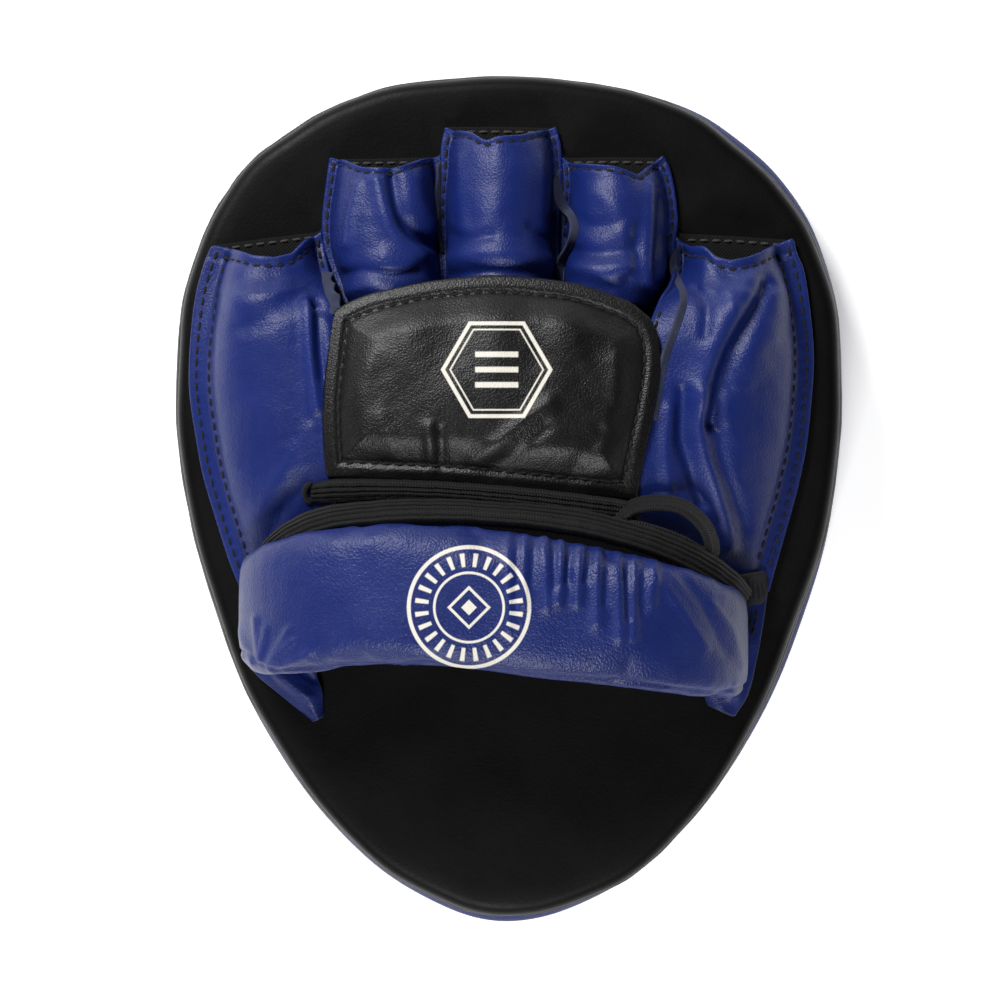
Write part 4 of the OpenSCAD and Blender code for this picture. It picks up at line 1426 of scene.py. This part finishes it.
def bake_modifiers(obj):
    """Replaces an object's mesh with what its modifiers make of it."""
    graph = bpy.context.evaluated_depsgraph_get()
    graph.update()
    made = bpy.data.meshes.new_from_object(obj.evaluated_get(graph))
    obj.modifiers.clear()
    obj.data = made
    made.name = obj.name


def press(obj, field):
    """Moves each point of a mesh along its normal by what a field gives for its place, in
    millimetres, and keeps the field's proud places in an attribute that paints them paler: a
    painted highlight."""
    mesh = obj.data
    co = np.zeros(len(mesh.vertices) * 3)
    mesh.vertices.foreach_get("co", co)
    co = co.reshape(-1, 3)
    n = np.zeros(len(co) * 3, np.float32)
    mesh.vertex_normals.foreach_get("vector", n)
    n = n.reshape(-1, 3)
    height = field(co / MM, n)
    mesh.vertices.foreach_set("co", (co + n * height[:, None] * MM).ravel())
    # The proud places' painted highlight
    layer = mesh.attributes.get("wear_and_highlight") or mesh.attributes.new("wear_and_highlight", "FLOAT", "POINT")
    layer.data.foreach_set("value", np.clip(height * 0.6, 0, 1).astype(np.float32))
    mesh.update()


def cuff_wrinkles():
    """Creases where the cuff's leather is gathered: a run of near-parallel ones from the front
    edge right of the middle, and a fan from the left foot's rear corner."""
    draw = np.random.default_rng(77)
    lines = []
    for k in range(9):
        x = -1.0 + k * 5.3 + draw.uniform(-0.7, 0.7)
        slant = draw.uniform(-2.5, 1.5)
        end = draw.uniform(-40, -27)
        strong = draw.uniform(1.1, 1.7) * (1.0 - 0.45 * abs(k - 4) / 4)
        lines.append(([(x, -7), (x + slant * 0.5, -18), (x + slant, end)], strong, 1.6))
        lines.append(([(x + 2.6, -7), (x + 2.6 + slant * 0.5, -16), (x + 2.6 + slant, end + 6)],
                      -strong * 0.8, 1.2))
    for k in range(7):
        turn = math.radians(20 + k * 20 + draw.uniform(-5, 5))
        reach = draw.uniform(12, 20)
        start = np.array([-72.0, -50.0])
        tip = start + reach * np.array([math.cos(turn), math.sin(turn)])
        lines.append(([tuple(start + (tip - start) * 0.25), tuple((start + tip) / 2), tuple(tip)],
                      draw.uniform(0.5, 0.9), 1.2))
    lines += [
        ([(40, -20), (48, -30), (56, -42)], 0.6, 1.6),
        ([(46, -18), (55, -30), (62, -44)], -0.6, 1.6),
        ([(58, -30), (64, -38), (67, -48)], 0.6, 1.5),
        ([(-40, -10), (-44, -22), (-42, -36)], 0.35, 4.0),
    ]
    return lines


def make_cuff():
    """The padded cuff, swollen, then creased by its folds on its upper side and nipped in at its
    rear seam."""
    p = cuff_roll(220, 84, 1.6)
    obj = closed_skin("cuff_pad", p)
    inflate(obj, 3.3, 4.0, 2.6)
    creases = cuff_wrinkles()

    def field(place, n):
        xy = place[:, :2]
        up = np.clip(n[:, 2] * 1.4 + 0.2, 0, 1)
        behind = place[:, 1] - np.interp(place[:, 0], *np.array(CUFF_REAR).T)
        seam = -0.7 * np.exp(-((behind - 2.0) / 0.7) ** 2) * (n[:, 2] > -0.3)
        uneven = folds(xy, creases) + 0.35 * crumple(xy, 24, 61) + 0.07 * crumple(xy, 6, 62)
        return up * uneven + seam

    press(obj, field)
    nodes = ["cuff_cover", "cuff_foam", "cuff_lining"]
    return finish_piece(obj, "cuff", nodes, ["cuff_leather"])


# ---- tails --------------------------------------------------------------------------------------

def patch(name, left, right, rows, columns, thickness, creases, seed, bow=0.0):
    """Leather between two lines in space: straight across, bowed up in the middle, with folds."""
    a, b = curve(left, columns), curve(right, columns)
    u = np.linspace(0, 1, rows)[:, None, None]
    p = a[None] * (1 - u) + b[None] * u
    p[..., 2] += bow * np.sin(math.pi * u[..., 0])
    height = folds(p[..., :2], creases) + 0.3 * crumple(p[..., :2], 8, seed)
    n = normals(p)
    n = n if n[..., 2].mean() > 0 else -n
    p = p + n * height[..., None]
    # The folds' tops are painted paler: a painted highlight
    return between(name, p, p - n * thickness, np.clip(height * 0.6, 0, 1))


def make_tails():
    """The cuff's sewn ends: each is a flat tail on the pad's back, and a soft web from it to the
    cuff's foot."""
    left = patch(
        "left_tail_leather",
        [(-79.4, -22, 47.4), (-79.8, -36, 47.4), (-78, -47, 47.4), (-71.5, -55, 47.4),
         (-64.5, -60.5, 47.2), (-58.6, -65.6, 46.6)],
        [(-62, -20, 47.6), (-61.5, -34, 47.8), (-60.5, -44, 48.4), (-58, -50, 48.8),
         (-56, -56, 48.4), (-55.2, -63.8, 46.6)],
        26, 90, 1.5,
        [([(-74, -44), (-68, -52), (-60, -58)], 1.0, 1.6),
         ([(-72, -40), (-65, -48), (-58, -53)], -0.9, 1.4),
         ([(-76, -34), (-71, -40), (-66, -44)], 0.8, 1.6)], 71, 2.2)
    finish_piece(left, "pad", ["left_tail"], ["blue_leather", "raw_edge"])
    right = patch(
        "right_tail_leather",
        [(57, -22, 47.6), (56.6, -36, 47.8), (56.4, -48, 48.2), (56.8, -55, 47.8),
         (58.4, -60.6, 46.8)],
        [(76.4, -24, 47.4), (74.8, -36, 47.4), (72.6, -48, 47.4), (70.4, -57, 47.2),
         (66.6, -64, 46.6)],
        26, 80, 1.5,
        [([(62, -38), (65, -48), (66, -58)], 0.8, 1.5), ([(60, -40), (61, -50)], -0.6, 1.4)], 72,
        1.6)
    finish_piece(right, "pad", ["right_tail"], ["blue_leather", "raw_edge"])
    base = 47.4
    for side, x, low, high in (("left", -70.5, -48, -24), ("right", 62.5, -53, -30)):
        angle = np.linspace(0, 2 * math.pi, 72, endpoint=False)
        rings = []
        for k in np.linspace(0, 1, 22):
            pinch = 1 - 0.16 * math.sin(math.pi * k)
            pleat = 1 + 0.05 * np.sin(11 * angle + 4 * k) * math.sin(math.pi * k)
            c, s = np.cos(angle), np.sin(angle)
            wide = 7.2 * pinch * pleat * np.sign(c) * np.abs(c) ** 0.8
            deep = (high - low) / 2 * pinch * pleat * np.sign(s) * np.abs(s) ** 0.7
            z = base + (CUFF_LOW[2] + 4.5 - base) * k
            rings.append(np.column_stack([x + wide, (low + high) / 2 + deep, np.full(72, z)]))
        first, last = rings[0].mean(0) + 0 * rings[0], rings[-1].mean(0) + 0 * rings[-1]
        obj = closed_skin(side + "_web", np.array([first] + rings + [last]))
        bend = ("pad", "cuff", (0, 0, 0.049), (0, 0, 0.057))
        finish_piece(obj, bend, [side + "_anchor"], ["blue_leather"])
    return left


def make_bartack():
    """Where the wrist elastic's right end is sewn down: its folded end, and a column of close
    stitches on the tail."""
    end = patch(
        "elastic_end", [(66.4, -22.6, 58), (66.8, -27, 57.6), (67.2, -31, 56.4)],
        [(75.4, -21.4, 50.4), (75.8, -26.4, 49.8), (74.4, -30.4, 49.6)], 14, 30, 1.6, [], 75, 1.4)
    finish_piece(end, "pad", ["right_bartack"], ["thread"] * 2)
    tree = tree_of(end, bpy.data.objects["right_tail_leather"])
    rows = [[(67.2 + 1.5 * k, -22.4 - 0.2 * k),
             (67.6 + 1.5 * k, -30.6 + 0.1 * k)] for k in range(6)]
    sewn("end_stitches", rows, tree, "thread", "pad", 1.6)
    column = [[(71.5, -31.5), (70.8, -36), (69.8, -41)], [(73.1, -31.5), (72.4, -36), (71.2, -41)]]
    sewn("tail_stitches", column, tree, "thread", "pad", 2.6)
    return end


# ---- stage --------------------------------------------------------------------------------------

def make_stage():
    """A pale floor, soft light from above and from all round, and the camera looking straight
    down."""
    floor = bpy.data.meshes.new("floor")
    half = 2.5
    low = -0.3 * MM
    floor.from_pydata([(-half, -half, low), (half, -half, low), (half, half, low),
                       (-half, half, low)], [], [(0, 1, 2, 3)])
    obj = bpy.data.objects.new("floor", floor)
    bpy.context.scene.collection.objects.link(obj)
    g = Graph(bpy.data.materials.new("pale_floor"))
    grain = g.noise(40.0, 3.0)
    g.feed(g.shader.inputs["Base Color"],
           g.mix(grain, (0.93, 0.93, 0.93, 1), (0.97, 0.97, 0.97, 1)))
    g.shader.inputs["Roughness"].default_value = 0.9
    g.shader.inputs["Emission Color"].default_value = (1.0, 1.0, 1.0, 1.0)
    g.shader.inputs["Emission Strength"].default_value = 0.45
    floor.materials.append(g.material)
    world = bpy.data.worlds.new("studio")
    bpy.context.scene.world = world
    sky = Graph(world, "Background")
    height = sky.axes(sky.add("ShaderNodeTexCoord").outputs["Generated"])[2]
    sky.feed(sky.shader.inputs["Color"], 0.42 - ((height - 0.22) * 4.0).clamped() * 0.39)
    for name, place, aim, size, power in (
        ("key_light", (-0.50, 0.80, 0.85), (0, 0, 0.05), 0.42, 19.0),
        ("fill_light", (-0.10, -0.80, 0.85), (0, 0, 0.05), 0.30, 10.0),
    ):
        lamp = bpy.data.lights.new(name, "AREA")
        lamp.size = size
        lamp.energy = power
        light = bpy.data.objects.new(name, lamp)
        light.location = place
        light.rotation_euler = (Vector(aim) - Vector(place)).to_track_quat("-Z", "Y").to_euler()
        bpy.context.scene.collection.objects.link(light)
    lens = bpy.data.cameras.new("camera")
    lens.lens = 140.2
    lens.sensor_width = 36.0
    lens.clip_start = 0.01
    camera = bpy.data.objects.new("camera", lens)
    camera.location = (-0.00305, 0.0, 1.2)
    bpy.context.scene.collection.objects.link(camera)
    bpy.context.scene.camera = camera
    bpy.context.scene.view_settings.view_transform = "Standard"
    return obj


# ---- operators ----------------------------------------------------------------------------------

class MITT_OT_target(bpy.types.Operator):
    """Build the target's back cover, gusset and striking cover"""
    bl_idname = "mitt.target"
    bl_label = "Target"

    def execute(self, context):
        make_back_cover()
        make_gusset()
        make_strike_cover()
        for node, name in (("strike_foam", "foam"), ("core_foam", "foam"), ("back_foam", "foam"),
                           ("stiffener_board", "board")):
            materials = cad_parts[node].data.materials
            materials.clear()
            materials.append(finish(name))
        return {"FINISHED"}


class MITT_OT_glove(bpy.types.Operator):
    """Build the palm liner and the five stalls with their linings and stitches"""
    bl_idname = "mitt.glove"
    bl_label = "Glove"

    def execute(self, context):
        make_liner()
        for name in STALLS:
            make_stall(name)
        return {"FINISHED"}


class MITT_OT_knuckle_panel(bpy.types.Operator):
    """Build the padded knuckle panel with its stitches and lining, and the raw seam edges beside
    it"""
    bl_idname = "mitt.knuckle_panel"
    bl_label = "Knuckle panel"

    def execute(self, context):
        make_knuckle_panel()
        make_seam_edges()
        return {"FINISHED"}


class MITT_OT_elastics(bpy.types.Operator):
    """Build the hem elastic, the slack loop and the wrist elastic"""
    bl_idname = "mitt.elastics"
    bl_label = "Elastics"

    def execute(self, context):
        make_hem_elastic()
        make_elastic_loop()
        make_wrist_elastic()
        return {"FINISHED"}


class MITT_OT_cuff(bpy.types.Operator):
    """Build the padded cuff"""
    bl_idname = "mitt.cuff"
    bl_label = "Cuff"

    def execute(self, context):
        make_cuff()
        return {"FINISHED"}


class MITT_OT_tails(bpy.types.Operator):
    """Build the sewn tails under the cuff and the bartack"""
    bl_idname = "mitt.tails"
    bl_label = "Tails"

    def execute(self, context):
        make_tails()
        make_bartack()
        return {"FINISHED"}


class MITT_OT_stage(bpy.types.Operator):
    """Build the floor, the lights and the camera"""
    bl_idname = "mitt.stage"
    bl_label = "Stage"

    def execute(self, context):
        make_stage()
        return {"FINISHED"}


OPERATORS = (MITT_OT_stage, MITT_OT_target, MITT_OT_glove, MITT_OT_knuckle_panel, MITT_OT_elastics,
             MITT_OT_cuff,
             MITT_OT_tails)


class MITT_PT_panel(bpy.types.Panel):
    """Sizes, colours and the mitt's pieces"""
    bl_idname = "MITT_PT_panel"
    bl_label = "Focus mitt"
    bl_space_type = "VIEW_3D"
    bl_region_type = "UI"
    bl_category = "Focus mitt"

    def draw(self, context):
        for group in (context.scene.mitt_sizes, context.scene.mitt_colours):
            column = self.layout.column(align=True)
            for key in group.__annotations__:
                column.prop(group, key)
        for operator in OPERATORS:
            self.layout.operator(operator.bl_idname)


CLASSES = (MittSizes, MittColours, *OPERATORS, MITT_PT_panel)


def register():
    for each in CLASSES:
        bpy.utils.register_class(each)
    bpy.types.Scene.mitt_sizes = bpy.props.PointerProperty(type=MittSizes)
    bpy.types.Scene.mitt_colours = bpy.props.PointerProperty(type=MittColours)


def unregister():
    del bpy.types.Scene.mitt_colours
    del bpy.types.Scene.mitt_sizes
    for each in reversed(CLASSES):
        bpy.utils.unregister_class(each)


def main():
    register()
    bpy.ops.mitt.stage()
    bpy.ops.mitt.target()
    bpy.ops.mitt.glove()
    bpy.ops.mitt.knuckle_panel()
    bpy.ops.mitt.elastics()
    bpy.ops.mitt.cuff()
    bpy.ops.mitt.tails()


if __name__ == "__main__":
    main()
